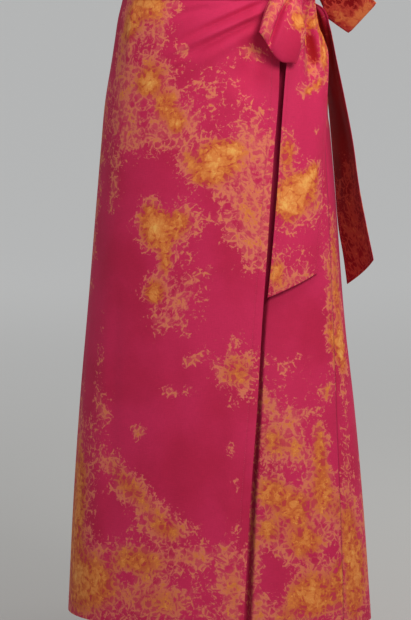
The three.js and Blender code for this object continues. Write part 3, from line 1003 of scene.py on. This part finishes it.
def front_overlap():
    def lift(angle, z):
        to_edge = arc(angle, overlap_edge(z), z)
        stand = EDGE_STAND * bump(to_edge, EDGE_STAND_WIDTH) * ease(-z, 130, 620)
        wave = EDGE_WAVE * np.sin(z / 41.0) * bump(to_edge, 12) * ease(-z, 130, 300)
        folds = fold_rise(DRAG_FOLDS, angle, z) + fold_rise(FRONT_CREASES, angle, z)
        return lap_lift(angle) + folds + stand + wave - seam_dip(angle, z, RIGHT_SEAM)

    heights = rows_between((PANEL_TOP, -160, 84), (-160, HEM, 158))
    cloth = form_cloth("front_overlap_cloth", overlap_span, lift, heights, 150, PANEL_WALL, 0.64)
    printed_at_angles(cloth, overlap_span, OVERLAP_PRINT)
    sewn_amounts(cloth, hem=HEM_WIDTH, right=EDGE_HEM_WIDTH, seams=("left", "top"))
    return cloth


def stitch_top_and_bottom(cloth):
    """How far each point is past the stitch lines along the top and the bottom, in metres."""
    to_edge = np.minimum(-cloth.flat[..., 1], cloth.flat[..., 1] - cloth.flat[-1:, :, 1])
    cloth.amounts["edge"] = (to_edge - BAND_STITCH_IN) * MM


def waistband(name, span, columns, patches, seams, lapped=False):
    """A stretch of the waistband: folded double, a little crowned between its two stitched edges."""

    def lift(angle, z):
        crown = BAND_CROWN * (1 - (z / BAND_TOP) ** 2)
        rumple = 0.35 * np.sin(np.radians(angle * 7 + z)) + 0.3 * np.sin(np.radians(angle * 17 - 2.3 * z))
        return BAND_PROUD + crown + rumple * 0.7 + (lap_lift(angle) if lapped else 0)

    heights = np.linspace(0, 1, 15)
    cloth = form_cloth(name, span, lift, heights, columns, BAND_WALL, 0.5, BAND_TOP, BAND_BOTTOM)
    printed_at_angles(cloth, span, patches, BAND_TOP, BAND_BOTTOM)
    sewn_amounts(cloth, seams=seams)
    stitch_top_and_bottom(cloth)
    return cloth


# ---------------------------------------------------------------- bow

KNOT_CENTRE = np.array([154.0, -34.0, 0.0])
KNOT_TANGENT = np.array([0.394, 0.919, 0.0])
KNOT_OUTWARD = np.array([0.919, -0.394, 0.0])
KNOT_UPWARD = np.array([0.0, 0.0, 1.0])
KNOT_ALONG = 17
KNOT_DEEP = 14
KNOT_HALF_HEIGHT = 19
KNOT_SQUARENESS = 3
KNOT_MAP_SHIFT = (700, 300)
KNOT_MAP_RADIUS = 16

# Where the cloth wound round the knot folds: the place along the knot, its slant, width and depth.
KNOT_FOLDS = Rows(
    "at slant spread depth",
    (-0.62, 0.10, 0.09, 1.3),
    (-0.22, -0.14, 0.07, 1.9),
    (0.12, 0.16, 0.08, 1.4),
    (0.44, -0.08, 0.06, 1.7),
    (0.72, 0.06, 0.08, 1.1),
)

ROOT_DEPTH = -6
ROOT_HALF_HEIGHT = 11
ROOT_LIFT_FRONT = BAND_PROUD + LAP_LIFT
ROOT_LIFT_SIDE = BAND_PROUD + 1.2
ROOT_GAP_ANGLE = 0.2
ROOT_PLEAT_RISE = 0.9
ROOT_PLEAT_PITCH = 21

LOOP_ROOT_HALF_WIDTH = 12
LOOP_ROOT_OPEN = 3
LOOP_ROOT_GAP = 0.3
LOOP_CUT = 0.02
LOOP_LEAST = 1.3

# Folds along each loop: the place across it (-1 to 1), width, depth, and where along it they fade.
FRONT_LOOP_FOLDS = Rows(
    "at spread depth fades",
    (-0.42, 0.07, 14.0, 1.3),
    (-0.30, 0.16, 3.0, 1.0),
    (0.02, 0.10, 2.6, 0.7),
    (0.3, 0.10, 2.4, 0.62),
    (0.62, 0.12, 2.0, 0.6),
)
SIDE_LOOP_FOLDS = Rows(
    "at spread depth fades",
    (-0.5, 0.13, 2.2, 0.7),
    (-0.1, 0.14, 2.6, 0.8),
    (0.3, 0.16, 2.4, 0.95),
    (0.66, 0.12, 1.8, 0.6),
)

# How far back the folded end of each loop lies at places across it.
FRONT_LOOP_ENDS = Rows(
    "at spread back",
    (-1.0, 0.5, 15),
    (1.0, 0.34, 16),
)
SIDE_LOOP_ENDS = Rows("at spread back", (-1.0, 0.1, 1), (1.0, 0.1, 1))

FRONT_TAIL = Profile(
    "z left_x left_y right_x right_y belly fold",
    (-19.3, 147.5, -44, 160, -19, 0, 0),
    (-60, 138, -61, 167, -23, 2, 3),
    (-78, 134, -68, 174, -20, 4, 5),
    (-105, 129.5, -77.5, 182, -21, 6, 7),
    (-180, 125, -88, 182, -32, 8, 2),
    (-290, 119.5, -96, 179, -41, 10, 0),
    (-380, 114, -104, 177, -56, 9, 0),
    (-435, 110, -108.5, 175, -64, 8, 0),
    (-470, 106.5, -111, 174, -67, 8, 0),
)
SIDE_TAIL = Profile(
    "z left_x left_y right_x right_y belly fold",
    (-19.3, 151, -20, 146.5, -31, 0, 0),
    (-34, 151, -12, 172, -16, 1, 1),
    (-60, 156, 10, 180.5, -9, 2, 2),
    (-110, 158.5, 52, 188.5, 3.5, 3, 4),
    (-170, 160, 80, 199.5, 14, 2, 3),
    (-240, 165, 91, 212, 21, -2, 1),
    (-310, 171, 91.5, 221.5, 24.5, -4, 0),
    (-380, 177, 92, 234.5, 29.5, -5, 0),
    (-425, 184.5, 93.5, 243.5, 33.5, -5, 0),
    (-470, 190.5, 95, 250, 37, -5, 0),
)
TAIL_FOLD_AT = 0.62
TAIL_FOLD_SPREAD = 0.14

# Where the other side of a tail shows: on the side tail where it turns over, and on the front tail as its
# dark reverse painted into the deep fold as shade. The place across it at the middle of that stretch, how
# that shifts on the way down, the spread, and the heights at its ends.
# On the front tail this band is painted shade in the deep fold: the cloth there does not turn over.
FRONT_TAIL_PAINTED_SHADE = {"at": 0.65, "shift": 0.06, "spread": 0.085, "top": -60, "bottom": -128}
SIDE_TAIL_TURN = {"at": 1.0, "shift": 0.5, "spread": 0.22, "top": -19, "bottom": -75}

# Folds down each tail: the place across it (0 to 1), width, rise, and the heights it runs between.
FRONT_TAIL_FOLDS = Rows(
    "at spread rise top bottom",
    (0.56, 0.10, -9, -30, -160),
    (0.78, 0.07, 4, -20, -160),
    (0.3, 0.09, 1.6, -20, -190),
    (0.12, 0.06, -1.4, -20, -120),
    (0.45, 0.16, -1.4, -180, -470),
    (0.75, 0.13, 1.2, -150, -420),
)
SIDE_TAIL_FOLDS = Rows(
    "at spread rise top bottom",
    (0.35, 0.08, -2.4, -20, -170),
    (0.6, 0.08, 2.2, -20, -200),
    (0.82, 0.07, -1.6, -20, -140),
    (0.25, 0.15, 1.5, -190, -470),
    (0.62, 0.15, -1.6, -160, -450),
)


def knot_point(tangent, outward, up):
    spread = np.stack(np.broadcast_arrays(tangent, outward, up), axis=-1)
    return KNOT_CENTRE + spread @ np.stack([KNOT_TANGENT, KNOT_OUTWARD, KNOT_UPWARD])


def squared(value):
    return np.sign(value) * np.abs(value) ** (2 / KNOT_SQUARENESS)


def barrel_faces(rings, sides):
    """The faces of a barrel of rings, closed by a point at each end that follows the rings' points."""
    first, last = rings * sides, rings * sides + 1
    faces = []
    for side in range(sides):
        after = (side + 1) % sides
        faces.append((first, after, side))
        faces.append((last, (rings - 1) * sides + side, (rings - 1) * sides + after))
        for ring in range(rings - 1):
            near, far = ring * sides, (ring + 1) * sides
            faces.append((near + side, near + after, far + after, far + side))
    return faces


def bow_knot(finish):
    """The knot: cloth wound round the gathered ties, with folds that run round with it."""
    rings, sides = 56, 96
    along = np.sin(np.linspace(-0.5, 0.5, rings + 2)[1:-1] * math.pi)
    turn = np.linspace(0, 2 * math.pi, sides, endpoint=False)
    place, turn = np.meshgrid(along, turn, indexing="ij")
    thin = (1 - np.abs(place) ** KNOT_SQUARENESS) ** (1 / KNOT_SQUARENESS)
    sunk = np.zeros(place.shape)
    for fold in KNOT_FOLDS:
        middle = fold["at"] + fold["slant"] * np.sin(turn + 0.6)
        sunk += fold["depth"] * bump(place - middle, fold["spread"])
    outward = (KNOT_DEEP * thin - sunk * thin) * squared(np.cos(turn))
    up = (KNOT_HALF_HEIGHT * thin - sunk * thin) * squared(np.sin(turn))
    points = knot_point(KNOT_ALONG * place * 0.985, outward, up).reshape(-1, 3)
    poles = knot_point(np.array([-KNOT_ALONG, KNOT_ALONG]) * 0.99, 0.0, 0.0)
    points = np.concatenate([points, poles])
    flat = np.stack([place * KNOT_ALONG, turn * KNOT_MAP_RADIUS], axis=-1).reshape(-1, 2)
    flat = np.concatenate([flat, [[-KNOT_ALONG, 0], [KNOT_ALONG, 0]]])
    amounts = {name: np.full(len(points), 1.0) for name in ("hem", "edge", "seam")}
    amounts["reverse"] = np.zeros(len(points))
    patch = bump(flat[:, 1] - 60, 18)
    amounts["web"] = 0.35 + 0.5 * patch
    amounts["gold"] = 0.6 * patch
    flat = flat + np.array(KNOT_MAP_SHIFT)
    piece = add_mesh("bow_knot_cloth", points, barrel_faces(rings, sides), flat, amounts)
    make_outward(piece.data)
    piece.data.materials.append(finish)
    return piece


def make_outward(mesh):
    """Turns the faces of a closed shape round if they point inwards."""
    if signed_volume(mesh) < 0:
        mesh.flip_normals()


def signed_volume(mesh):
    mesh.calc_loop_triangles()
    corners = np.empty(len(mesh.loop_triangles) * 3, dtype=np.int32)
    mesh.loop_triangles.foreach_get("vertices", corners)
    places = np.empty(len(mesh.vertices) * 3, dtype=np.float32)
    mesh.vertices.foreach_get("co", places)
    triangles = places.reshape(-1, 3)[corners.reshape(-1, 3)]
    return float(np.einsum("ij,ij->i", triangles[:, 0], np.cross(triangles[:, 1], triangles[:, 2])).sum())


def knot_side(outward):
    share = 1 - abs(outward / KNOT_DEEP) ** KNOT_SQUARENESS
    return KNOT_ALONG * share ** (1 / KNOT_SQUARENESS)


def tie_root(name, start_angle, start_lift, side, gap):
    """A tie's first stretch, from the waistband to the knot's side, pleated as the knot gathers it."""
    knot_end = knot_point(side * (knot_side(ROOT_DEPTH) + gap), float(ROOT_DEPTH), 0.0)

    def face(u, v):
        near_knot = u if side < 0 else 1 - u
        half_height = mix(BAND_TOP, ROOT_HALF_HEIGHT, ease(near_knot, 0, 1))
        z = mix(half_height, -half_height, v)
        start = form_point(start_angle(z), z, start_lift)
        run = (knot_end - start) * -side
        run[..., 2] = 0
        run = unit(run)
        out = np.stack([run[..., 1], -run[..., 0], np.zeros_like(z)], axis=-1)
        pleat = ROOT_PLEAT_RISE * np.sin(v * ROOT_PLEAT_PITCH + 0.8)
        pleat = pleat * ease(near_knot, 0.1, 0.9) * (1 - near_knot * 0.4)
        point = start + (knot_end - start) * near_knot[..., None] + out * pleat[..., None]
        point[..., 2] = z
        return point

    cloth = Cloth(name, face, np.linspace(0, 1, 26), np.linspace(0, 1, 44), TIE_WALL)
    cloth.amounts["web"] = 0.45 + 0.3 * np.sin(cloth.flat[..., 0] / 9 + 1)
    cloth.amounts["gold"] = 0.35 + 0.3 * np.sin(cloth.flat[..., 1] / 8)
    sewn_amounts(cloth)
    stitch_top_and_bottom(cloth)
    return cloth


def loop_frames(root, bend, end, root_across, end_across):
    """A function that gives, at shares of a loop's length, its spine and the ways along it, across
    it and out of it."""
    root, bend, end = [np.array(place, dtype=float) for place in (root, bend, end)]
    root_across, end_across = np.array(root_across, dtype=float), np.array(end_across, dtype=float)

    def frame_at(t):
        t = t[..., None]
        spine = (1 - t) ** 2 * root + 2 * t * (1 - t) * bend + t**2 * end
        forward = unit(2 * (1 - t) * (bend - root) + 2 * t * (end - bend))
        across = unit(mix(root_across, end_across, ease(t, 0, 0.8)))
        facing = unit(np.cross(across, forward))
        facing = np.where((facing @ KNOT_OUTWARD < 0)[..., None], -facing, facing)
        return spine, forward, across, facing

    return frame_at


def loop_hollow(folds, width, t, outward):
    """How far the folds of a loop sink into it."""
    hollow = np.zeros(width.shape)
    for fold in folds:
        strength = outward**1.2 * (1 - ease(t, fold["fades"] * 0.45, fold["fades"]))
        hollow += fold["depth"] * bump(width - fold["at"], fold["spread"]) * strength
    return hollow


def drawn_back(ends, width):
    drawn = np.zeros(width.shape)
    for place in ends:
        drawn += place["back"] * bump(width - place["at"], place["spread"])
    return drawn


def bow_loop(name, side, bend, end, root_across, end_across, half_width, fullness, folds, rolled, ends):
    """A loop of the bow: the ribbon runs out from the knot along its spine, folds over at the end
    and comes back behind itself. The knot gathers it into folds that open out along it. rolled is
    how far its edges roll in, and ends how far the folded end draws back at places across it."""
    root = knot_point(side * (KNOT_ALONG + LOOP_ROOT_GAP), 0.0, 0.0)
    frame_at = loop_frames(root, bend, end, root_across, end_across)
    forward, across, facing = [part[0] for part in frame_at(np.array([1.0]))[1:]]
    handed = math.copysign(1.0, float(np.dot(np.cross(across, facing), forward)))

    def face(u, v):
        width = handed * (2 * u - 1)
        turn = 2 * math.pi * mix(LOOP_CUT, 1 - LOOP_CUT, v)
        t = (1 - np.cos(turn)) / 2
        spine, forward, across, facing = frame_at(t)
        outward = np.sin(turn / 2)
        leaf_side = np.cos(turn / 2)
        leaf = fullness / 2 * np.sin(turn) * outward + LOOP_ROOT_OPEN * leaf_side
        roll = (1 - np.clip(np.abs(width), 0, 1) ** 5) ** 0.5
        closed = np.minimum(np.abs(leaf), np.maximum(np.abs(leaf) * mix(1, roll, rolled), LOOP_LEAST))
        hollow = loop_hollow(folds, width, t, outward)
        sink = np.sign(leaf_side) * np.minimum(np.maximum(closed - LOOP_LEAST, 0), hollow)
        out = np.sign(leaf) * closed - sink
        beside = width * mix(LOOP_ROOT_HALF_WIDTH, half_width, ease(t, 0, 0.75))
        along = -drawn_back(ends, width) * ease(t, 0.3, 1.0)
        return spine + forward * along[..., None] + across * beside[..., None] + facing * out[..., None]

    cloth = Cloth(name, face, np.linspace(0, 1, 90), np.linspace(0, 1, 120), TIE_WALL)
    sewn_amounts(cloth, left=TIE_HEM_WIDTH, right=TIE_HEM_WIDTH)
    return cloth


def tie_tail(name, table, left_end, right_end, folds):
    """A tie's hanging end: gathered under the knot, full width lower down, and cut off at a slant."""
    top = table.rows[0]["z"]

    def face(u, v):
        left_z = mix(top, left_end, v)
        right_z = mix(top, right_end, v)
        left, right = table.at(left_z), table.at(right_z)
        run_x = right["right_x"] - left["left_x"]
        run_y = right["right_y"] - left["left_y"]
        size = np.hypot(run_x, run_y)
        belly = 4 * u * (1 - u) * mix(left["belly"], right["belly"], u)
        dip = mix(left["fold"], right["fold"], u) * bump(u - TAIL_FOLD_AT, TAIL_FOLD_SPREAD)
        z = mix(left_z, right_z, u)
        out = belly - dip
        for fold in folds:
            share = (z - fold["top"]) / (fold["bottom"] - fold["top"])
            strength = ease(share, 0, 0.25) * (1 - ease(share, 0.45, 1))
            out = out + fold["rise"] * strength * bump(u - fold["at"], fold["spread"])
        x = left["left_x"] + run_x * u + run_y / size * out
        y = left["left_y"] + run_y * u - run_x / size * out
        return np.stack([x, y, z], axis=-1)

    cloth = Cloth(name, face, np.linspace(0, 1, 90), np.linspace(0, 1, 190), TIE_WALL)
    sewn_amounts(cloth, hem=TIE_HEM_WIDTH, left=TIE_HEM_WIDTH, right=TIE_HEM_WIDTH)
    return cloth


def show_turn_or_painted_shade(cloth, turn):
    """Lets the other side of a tail show in a band across it: where it turns over, and as painted shade
    where the dark reverse is put into a deep fold.
    """
    height = cloth.outer[..., 2]
    share = (height - turn["top"]) / (turn["bottom"] - turn["top"])
    across = cloth.u - turn["at"] - turn["shift"] * (share - 0.5)
    cloth.turned_or_painted_shade = bump(across, turn["spread"]) * ease(share, 0, 0.3) * (1 - ease(share, 0.75, 1))


# Patches of the print on the ties: how far from the left edge and at what height each lies.
FRONT_TAIL_PRINT = Rows(
    "from_left z across down web gold lean",
    (46, -54, 10, 16, 0.97, 0.8),
    (78, -98, 8, 34, 0.98, 0.85),
    (66, -66, 8, 14, 0.98, 0.85),
    (60, -96, 8, 26, -0.97),
    (48, -126, 14, 9, 0.8, 0.3),
    (16, -50, 16, 26, 0.8, 0.4),
    (50, -110, 16, 14, 0.6, 0.1),
    (44, -158, 9, 7, 0.85, 0.7, 30),
    (62, -148, 9, 8, 0.85, 0.7),
    (30, -150, 10, 10, 0.5, 0.1),
    (12, -250, 13, 27, 0.9, 0.6),
    (20, -324, 27, 31, 1.0, 1.15),
    (44, -304, 21, 22, 1.0, 0.95),
    (62, -284, 11, 17, 0.95, 0.75),
    (70, -330, 16, 26, 0.8, 0.2),
    (64, -216, 6, 8, 0.5),
    (10, -432, 16, 24, 0.9, 0.5),
    (38, -448, 30, 13, 0.7, 0.2, 20),
    (60, -424, 16, 12, 0.55, 0.1),
    (40, -398, 20, 8, 0.3),
)
SIDE_TAIL_PRINT = Rows(
    "from_left z across down web gold lean",
    (50, -60, 30, 30, 0.3),
    (30, -330, 30, 40, 0.4, 0.1),
    (60, -310, 24, 50, 0.5, 0.2),
    (56, -390, 40, 44, 0.62, 0.35),
    (24, -440, 30, 30, 0.6, 0.3),
)
# On a loop: how far from its left edge as it lies flat, and how far along it from the knot.
FRONT_LOOP_PRINT = Rows(
    "from_left z across down web gold lean",
    (70, -61, 15, 15, 1.0, 1.15),
    (46, -44, 20, 11, 0.75, 0.1),
    (12, -95, 11, 46, 0.75, 0.2),
    (96, -80, 8, 12, 0.6, 0.1),
    (40, -190, 34, 40, 0.8, 0.6),
)
SIDE_LOOP_PRINT = Rows(
    "from_left z across down web gold lean",
    (20, -76, 20, 40, 0.9, 0.6),
    (44, -92, 26, 24, 0.97, 0.9),
    (40, -170, 50, 60, 0.8, 0.6),
)


def printed_on_tie(cloth, patches, by_height):
    """The print on a tie. Heights count down the body on a tail, and along the ribbon on a loop."""
    from_left = cloth.flat[..., 0] - cloth.flat[:, :1, 0]
    height = cloth.outer[..., 2] if by_height else cloth.flat[..., 1]

    def offset_of(patch):
        return from_left - patch["from_left"], height - patch["z"]

    cloth.amounts["web"], cloth.amounts["gold"] = print_amounts(patches, offset_of)


# ---------------------------------------------------------------- stitches

PANEL_STITCH = {"pitch": 3.4, "length": 2.5, "width": 0.55}
TIE_STITCH = {"pitch": 3.0, "length": 2.2, "width": 0.45}
PANEL_STITCH_LIFT = 0.12
TIE_STITCH_LIFT = 0.1
BAND_STITCH_ROWS = (0.055, 0.945)


def stitch_tree(thread):
    """Geometry nodes that lay stitches along the lines of a mesh."""
    tree = bpy.data.node_groups.new("running_stitch", "GeometryNodeTree")
    sockets = tree.interface
    sockets.new_socket("Geometry", in_out="INPUT", socket_type="NodeSocketGeometry")
    sizes = {"Pitch": 0.0032, "Stitch length": 0.0024, "Thread width": 0.0005}
    for name, size in sizes.items():
        socket = sockets.new_socket(name, in_out="INPUT", socket_type="NodeSocketFloat")
        socket.default_value = size
        socket.min_value = 0.0001
    sockets.new_socket("Geometry", in_out="OUTPUT", socket_type="NodeSocketGeometry")

    def add(kind, **settings):
        node = tree.nodes.new(kind)
        for setting, value in settings.items():
            setattr(node, setting, value)
        return node

    def link(source, output, target, socket):
        tree.links.new(source.outputs[output], target.inputs[socket])

    entry = add("NodeGroupInput")
    result = add("NodeGroupOutput")
    lines = add("GeometryNodeMeshToCurve")
    spots = add("GeometryNodeCurveToPoints", mode="LENGTH")
    bead = add("GeometryNodeMeshUVSphere")
    bead.inputs["Segments"].default_value = 6
    bead.inputs["Rings"].default_value = 4
    bead.inputs["Radius"].default_value = 0.5
    size = add("ShaderNodeCombineXYZ")
    placed = add("GeometryNodeInstanceOnPoints")
    real = add("GeometryNodeRealizeInstances")
    coat = add("GeometryNodeSetMaterial")
    coat.inputs["Material"].default_value = thread
    link(entry, "Geometry", lines, "Mesh")
    link(lines, "Curve", spots, "Curve")
    link(entry, "Pitch", spots, "Length")
    link(entry, "Thread width", size, "X")
    link(entry, "Thread width", size, "Y")
    link(entry, "Stitch length", size, "Z")
    link(spots, "Points", placed, "Points")
    link(spots, "Rotation", placed, "Rotation")
    link(bead, "Mesh", placed, "Instance")
    link(size, "Vector", placed, "Scale")
    link(placed, "Instances", real, "Geometry")
    link(real, "Geometry", coat, "Geometry")
    link(coat, "Geometry", result, "Geometry")
    return tree


def sew(name, lines, tree, pitch, length, width):
    """Stitches along the lines, as one plain mesh."""
    points, edges = [], []
    for line in lines:
        start = len(points)
        points.extend((line * MM).tolist())
        edges.extend((start + step, start + step + 1) for step in range(len(line) - 1))
    paths = bpy.data.meshes.new(f"{name}_lines")
    paths.from_pydata(points, edges, [])
    guide = add_object(f"{name}_guide", paths)
    modifier = guide.modifiers.new("stitches", "NODES")
    modifier.node_group = tree
    wanted = {"Pitch": pitch * MM, "Stitch length": length * MM, "Thread width": width * MM}
    for item in tree.interface.items_tree:
        if item.item_type == "SOCKET" and item.in_out == "INPUT" and item.name in wanted:
            modifier[item.identifier] = wanted[item.name]
    graph = bpy.context.evaluated_depsgraph_get()
    mesh = bpy.data.meshes.new_from_object(guide.evaluated_get(graph), depsgraph=graph)
    bpy.data.objects.remove(guide)
    mesh.name = name
    mesh.polygons.foreach_set("use_smooth", [True] * len(mesh.polygons))
    return add_object(name, mesh)


def hem_line(cloth, width, count=420):
    """The stitch line along the bottom of a panel, a hem's width up."""
    depth = cloth.flat[0, :, 1] - cloth.flat[-1, :, 1]
    u = np.linspace(0.004, 0.996, count)
    v = 1 - width / np.interp(u, cloth.across, depth)
    return cloth.line(u, v, PANEL_STITCH_LIFT)


def across_line(cloth, v):
    return cloth.line(np.linspace(0.003, 0.997, 300), v, PANEL_STITCH_LIFT)


# ---------------------------------------------------------------- studio

# Metres, but for the lens, which is in millimetres.
CAMERA_PLACE = (1.1995, -5.2651, 0.150)
CAMERA_TARGET = (-0.0152, -0.0035, -0.505)
CAMERA_LENS = 202.47
FLOOR_LEVEL = -1.09
FLOOR_RADIUS = 90.0


def pale_floor(finish):
    """A wide round floor just below the hem."""
    mesh = bpy.data.meshes.new("pale_floor")
    sides = 96
    turns = [2 * math.pi * side / sides for side in range(sides)]
    rim = [(FLOOR_RADIUS * math.cos(turn), FLOOR_RADIUS * math.sin(turn), FLOOR_LEVEL) for turn in turns]
    mesh.from_pydata(rim, [], [list(range(sides))])
    mesh.materials.append(finish)
    add_object("pale_floor", mesh)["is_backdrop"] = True


def look_along(thing, target):
    way = Vector(target) - thing.location
    thing.rotation_euler = way.to_track_quat("-Z", "Y").to_euler()


def soft_light(name, place, target, power, size, tint):
    lamp = bpy.data.lights.new(name, "AREA")
    lamp.shape = "DISK"
    lamp.size = size
    lamp.energy = power
    lamp.color = tint
    light = add_object(name, lamp)
    light.location = place
    light.visible_camera = False
    look_along(light, target)


def sky_light(name, place, strength, spread):
    lamp = bpy.data.lights.new(name, "SUN")
    lamp.energy = strength
    lamp.angle = math.radians(spread)
    light = add_object(name, lamp)
    light.location = place
    look_along(light, (0, 0, -0.5))


def studio_camera():
    data = bpy.data.cameras.new("studio_camera")
    data.lens = CAMERA_LENS
    data.sensor_width = 36
    camera = add_object("studio_camera", data)
    camera.location = CAMERA_PLACE
    look_along(camera, CAMERA_TARGET)
    bpy.context.scene.camera = camera


def studio():
    scene = bpy.context.scene
    scene.view_settings.view_transform = "Standard"
    world = bpy.data.worlds.new("studio_world")
    world.use_nodes = True
    background = world.node_tree.nodes["Background"]
    background.inputs["Color"].default_value = (0.96, 0.98, 1.0, 1.0)
    background.inputs["Strength"].default_value = 0.30
    scene.world = world
    pale_floor(studio_grey_painted_shade())
    soft_light("back_light", (1.5, 1.9, 1.0), (0, 0, -0.4), 20, 0.8, (0.97, 0.985, 1.0))
    sky_light("top_light", (0.4, -0.6, 3.0), 1.03, 30)
    soft_light("key_light", (0.9, -1.3, 0.62), (0, 0, 0.45), 19.2, 0.7, (1.0, 0.985, 0.96))
    studio_camera()


# ---------------------------------------------------------------- making the skirt


def wear(piece, node):
    """The piece takes a node's place and rides with the skirt."""
    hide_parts(node)
    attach(piece, "root")


def cut(piece, with_pieces=()):
    """Lists the pieces that go with a piece, and does nothing more."""
    list(with_pieces)


skirt_cotton = printed_cotton("skirt_cotton")
band_cotton = printed_cotton("band_cotton", roughness=0.7, depth=0.5)
tie_cotton = printed_cotton("tie_cotton", roughness=0.68, depth=0.7)
thread = sewing_thread()

back = back_panel()
underlap = front_underlap()
overlap = front_overlap()
band_back = waistband("waistband_back_cloth", back_span, 240, BACK_PRINT, ("left", "right"))
band_underlap = waistband("waistband_underlap_cloth", underlap_span, 130, OVERLAP_PRINT, ("right",))
band_overlap = waistband("waistband_overlap_cloth", overlap_span, 160, OVERLAP_PRINT, ("left",), True)

# Each shift gives its piece a stretch of the print of its own.
back_piece = build_cloth(back, skirt_cotton, shift=(3100, 900))
underlap_piece = build_cloth(underlap, skirt_cotton, shift=(1700, 400))
overlap_piece = build_cloth(overlap, skirt_cotton)
band_back_piece = build_cloth(band_back, band_cotton, shift=(5100, 200))
band_underlap_piece = build_cloth(band_underlap, band_cotton, shift=(6100, 500))
band_overlap_piece = build_cloth(band_overlap, band_cotton, shift=(7100, 700))

knot = bow_knot(tie_cotton)
root_front = tie_root(
    "tie_root_front_cloth", lambda z: overlap_edge(z) + ROOT_GAP_ANGLE, ROOT_LIFT_FRONT, -1, 0.6
)
root_side = tie_root(
    "tie_root_side_cloth", lambda z: left_seam(z) + ROOT_GAP_ANGLE, ROOT_LIFT_SIDE, 1, 1.5
)
loop_front = bow_loop(
    "bow_loop_front_cloth",
    side=-1,
    bend=(137, -80, -14),
    end=(117, -111, -106),
    root_across=(0, 0, -1),
    end_across=(0.645, 0.406, -0.64),
    half_width=39,
    fullness=32,
    folds=FRONT_LOOP_FOLDS,
    rolled=0.9,
    ends=FRONT_LOOP_ENDS,
)
loop_side = bow_loop(
    "bow_loop_side_cloth",
    side=1,
    bend=(172, 4, -4),
    end=(229, 12, -50),
    root_across=(0, 0, 1),
    end_across=(0.663, -0.38, 0.647),
    half_width=36,
    fullness=18,
    folds=SIDE_LOOP_FOLDS,
    rolled=0.4,
    ends=SIDE_LOOP_ENDS,
)
tail_front = tie_tail("tie_tail_front_cloth", FRONT_TAIL, -470, -435, FRONT_TAIL_FOLDS)
tail_side = tie_tail("tie_tail_side_cloth", SIDE_TAIL, -470, -424, SIDE_TAIL_FOLDS)
# The front tail's band of dark reverse is painted shade in its deep fold.
show_turn_or_painted_shade(tail_front, FRONT_TAIL_PAINTED_SHADE)
show_turn_or_painted_shade(tail_side, SIDE_TAIL_TURN)
printed_on_tie(tail_front, FRONT_TAIL_PRINT, True)
printed_on_tie(tail_side, SIDE_TAIL_PRINT, True)
printed_on_tie(loop_front, FRONT_LOOP_PRINT, False)
printed_on_tie(loop_side, SIDE_LOOP_PRINT, False)
root_front_piece = build_cloth(root_front, tie_cotton, shift=(900, 1200))
root_side_piece = build_cloth(root_side, tie_cotton, shift=(1300, 1500))
loop_front_piece = build_cloth(loop_front, tie_cotton, shift=(2100, 1700))
loop_side_piece = build_cloth(loop_side, tie_cotton, shift=(2600, 2100), reverse_out=True)
tail_front_piece = build_cloth(tail_front, tie_cotton, shift=(3300, 2500))
tail_side_piece = build_cloth(tail_side, tie_cotton, shift=(4100, 2900), reverse_out=True)

stitching = stitch_tree(thread)
panel_lines = [
    hem_line(back, HEM_WIDTH, 700),
    hem_line(underlap, HEM_WIDTH),
    hem_line(overlap, HEM_WIDTH),
    overlap.column_line(PANEL_STITCH_LIFT, from_right=EDGE_HEM_WIDTH),
]
for band in (band_back, band_underlap, band_overlap):
    panel_lines.extend(across_line(band, row) for row in BAND_STITCH_ROWS)
panel_stitches = sew("panel_stitches", panel_lines, stitching, **PANEL_STITCH)
tie_lines = []
for cloth in (tail_front, tail_side, loop_front, loop_side):
    tie_lines.append(cloth.column_line(TIE_STITCH_LIFT, from_left=TIE_HEM_WIDTH))
    tie_lines.append(cloth.column_line(TIE_STITCH_LIFT, from_right=TIE_HEM_WIDTH))
for cloth in (tail_front, tail_side):
    tie_lines.append(hem_line(cloth, TIE_HEM_WIDTH, 60))
tie_stitches = sew("tie_stitches", tie_lines, stitching, **TIE_STITCH)

studio()

wear(back_piece, "back_panel")
wear(underlap_piece, "front_underlap")
wear(overlap_piece, "front_overlap")
wear(band_back_piece, "waistband_back")
wear(band_underlap_piece, "waistband_underlap")
wear(band_overlap_piece, "waistband_overlap")
wear(knot, "bow_knot")
wear(root_front_piece, "tie_root_front")
wear(root_side_piece, "tie_root_side")
wear(loop_front_piece, "bow_loop_front")
wear(loop_side_piece, "bow_loop_side")
wear(tail_front_piece, "tie_tail_front")
wear(tail_side_piece, "tie_tail_side")
for stitches, slot_name in ((panel_stitches, "skirt_cloth"), (tie_stitches, "tie_cloth")):
    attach(stitches, "root")

cut(back_piece)
cut(underlap_piece)
cut(overlap_piece, [panel_stitches])
cut(band_back_piece)
cut(band_underlap_piece)
cut(band_overlap_piece)
cut(root_front_piece)
cut(root_side_piece)
cut(loop_front_piece, [knot, tie_stitches])
cut(loop_side_piece)
cut(tail_front_piece)
cut(tail_side_piece)

low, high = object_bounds()
sizes = {
    "cad": [[round(value, 5) for value in corner] for corner in (cad_low, cad_high)],
    "visual": [[round(value, 5) for value in corner] for corner in (low, high)],
}
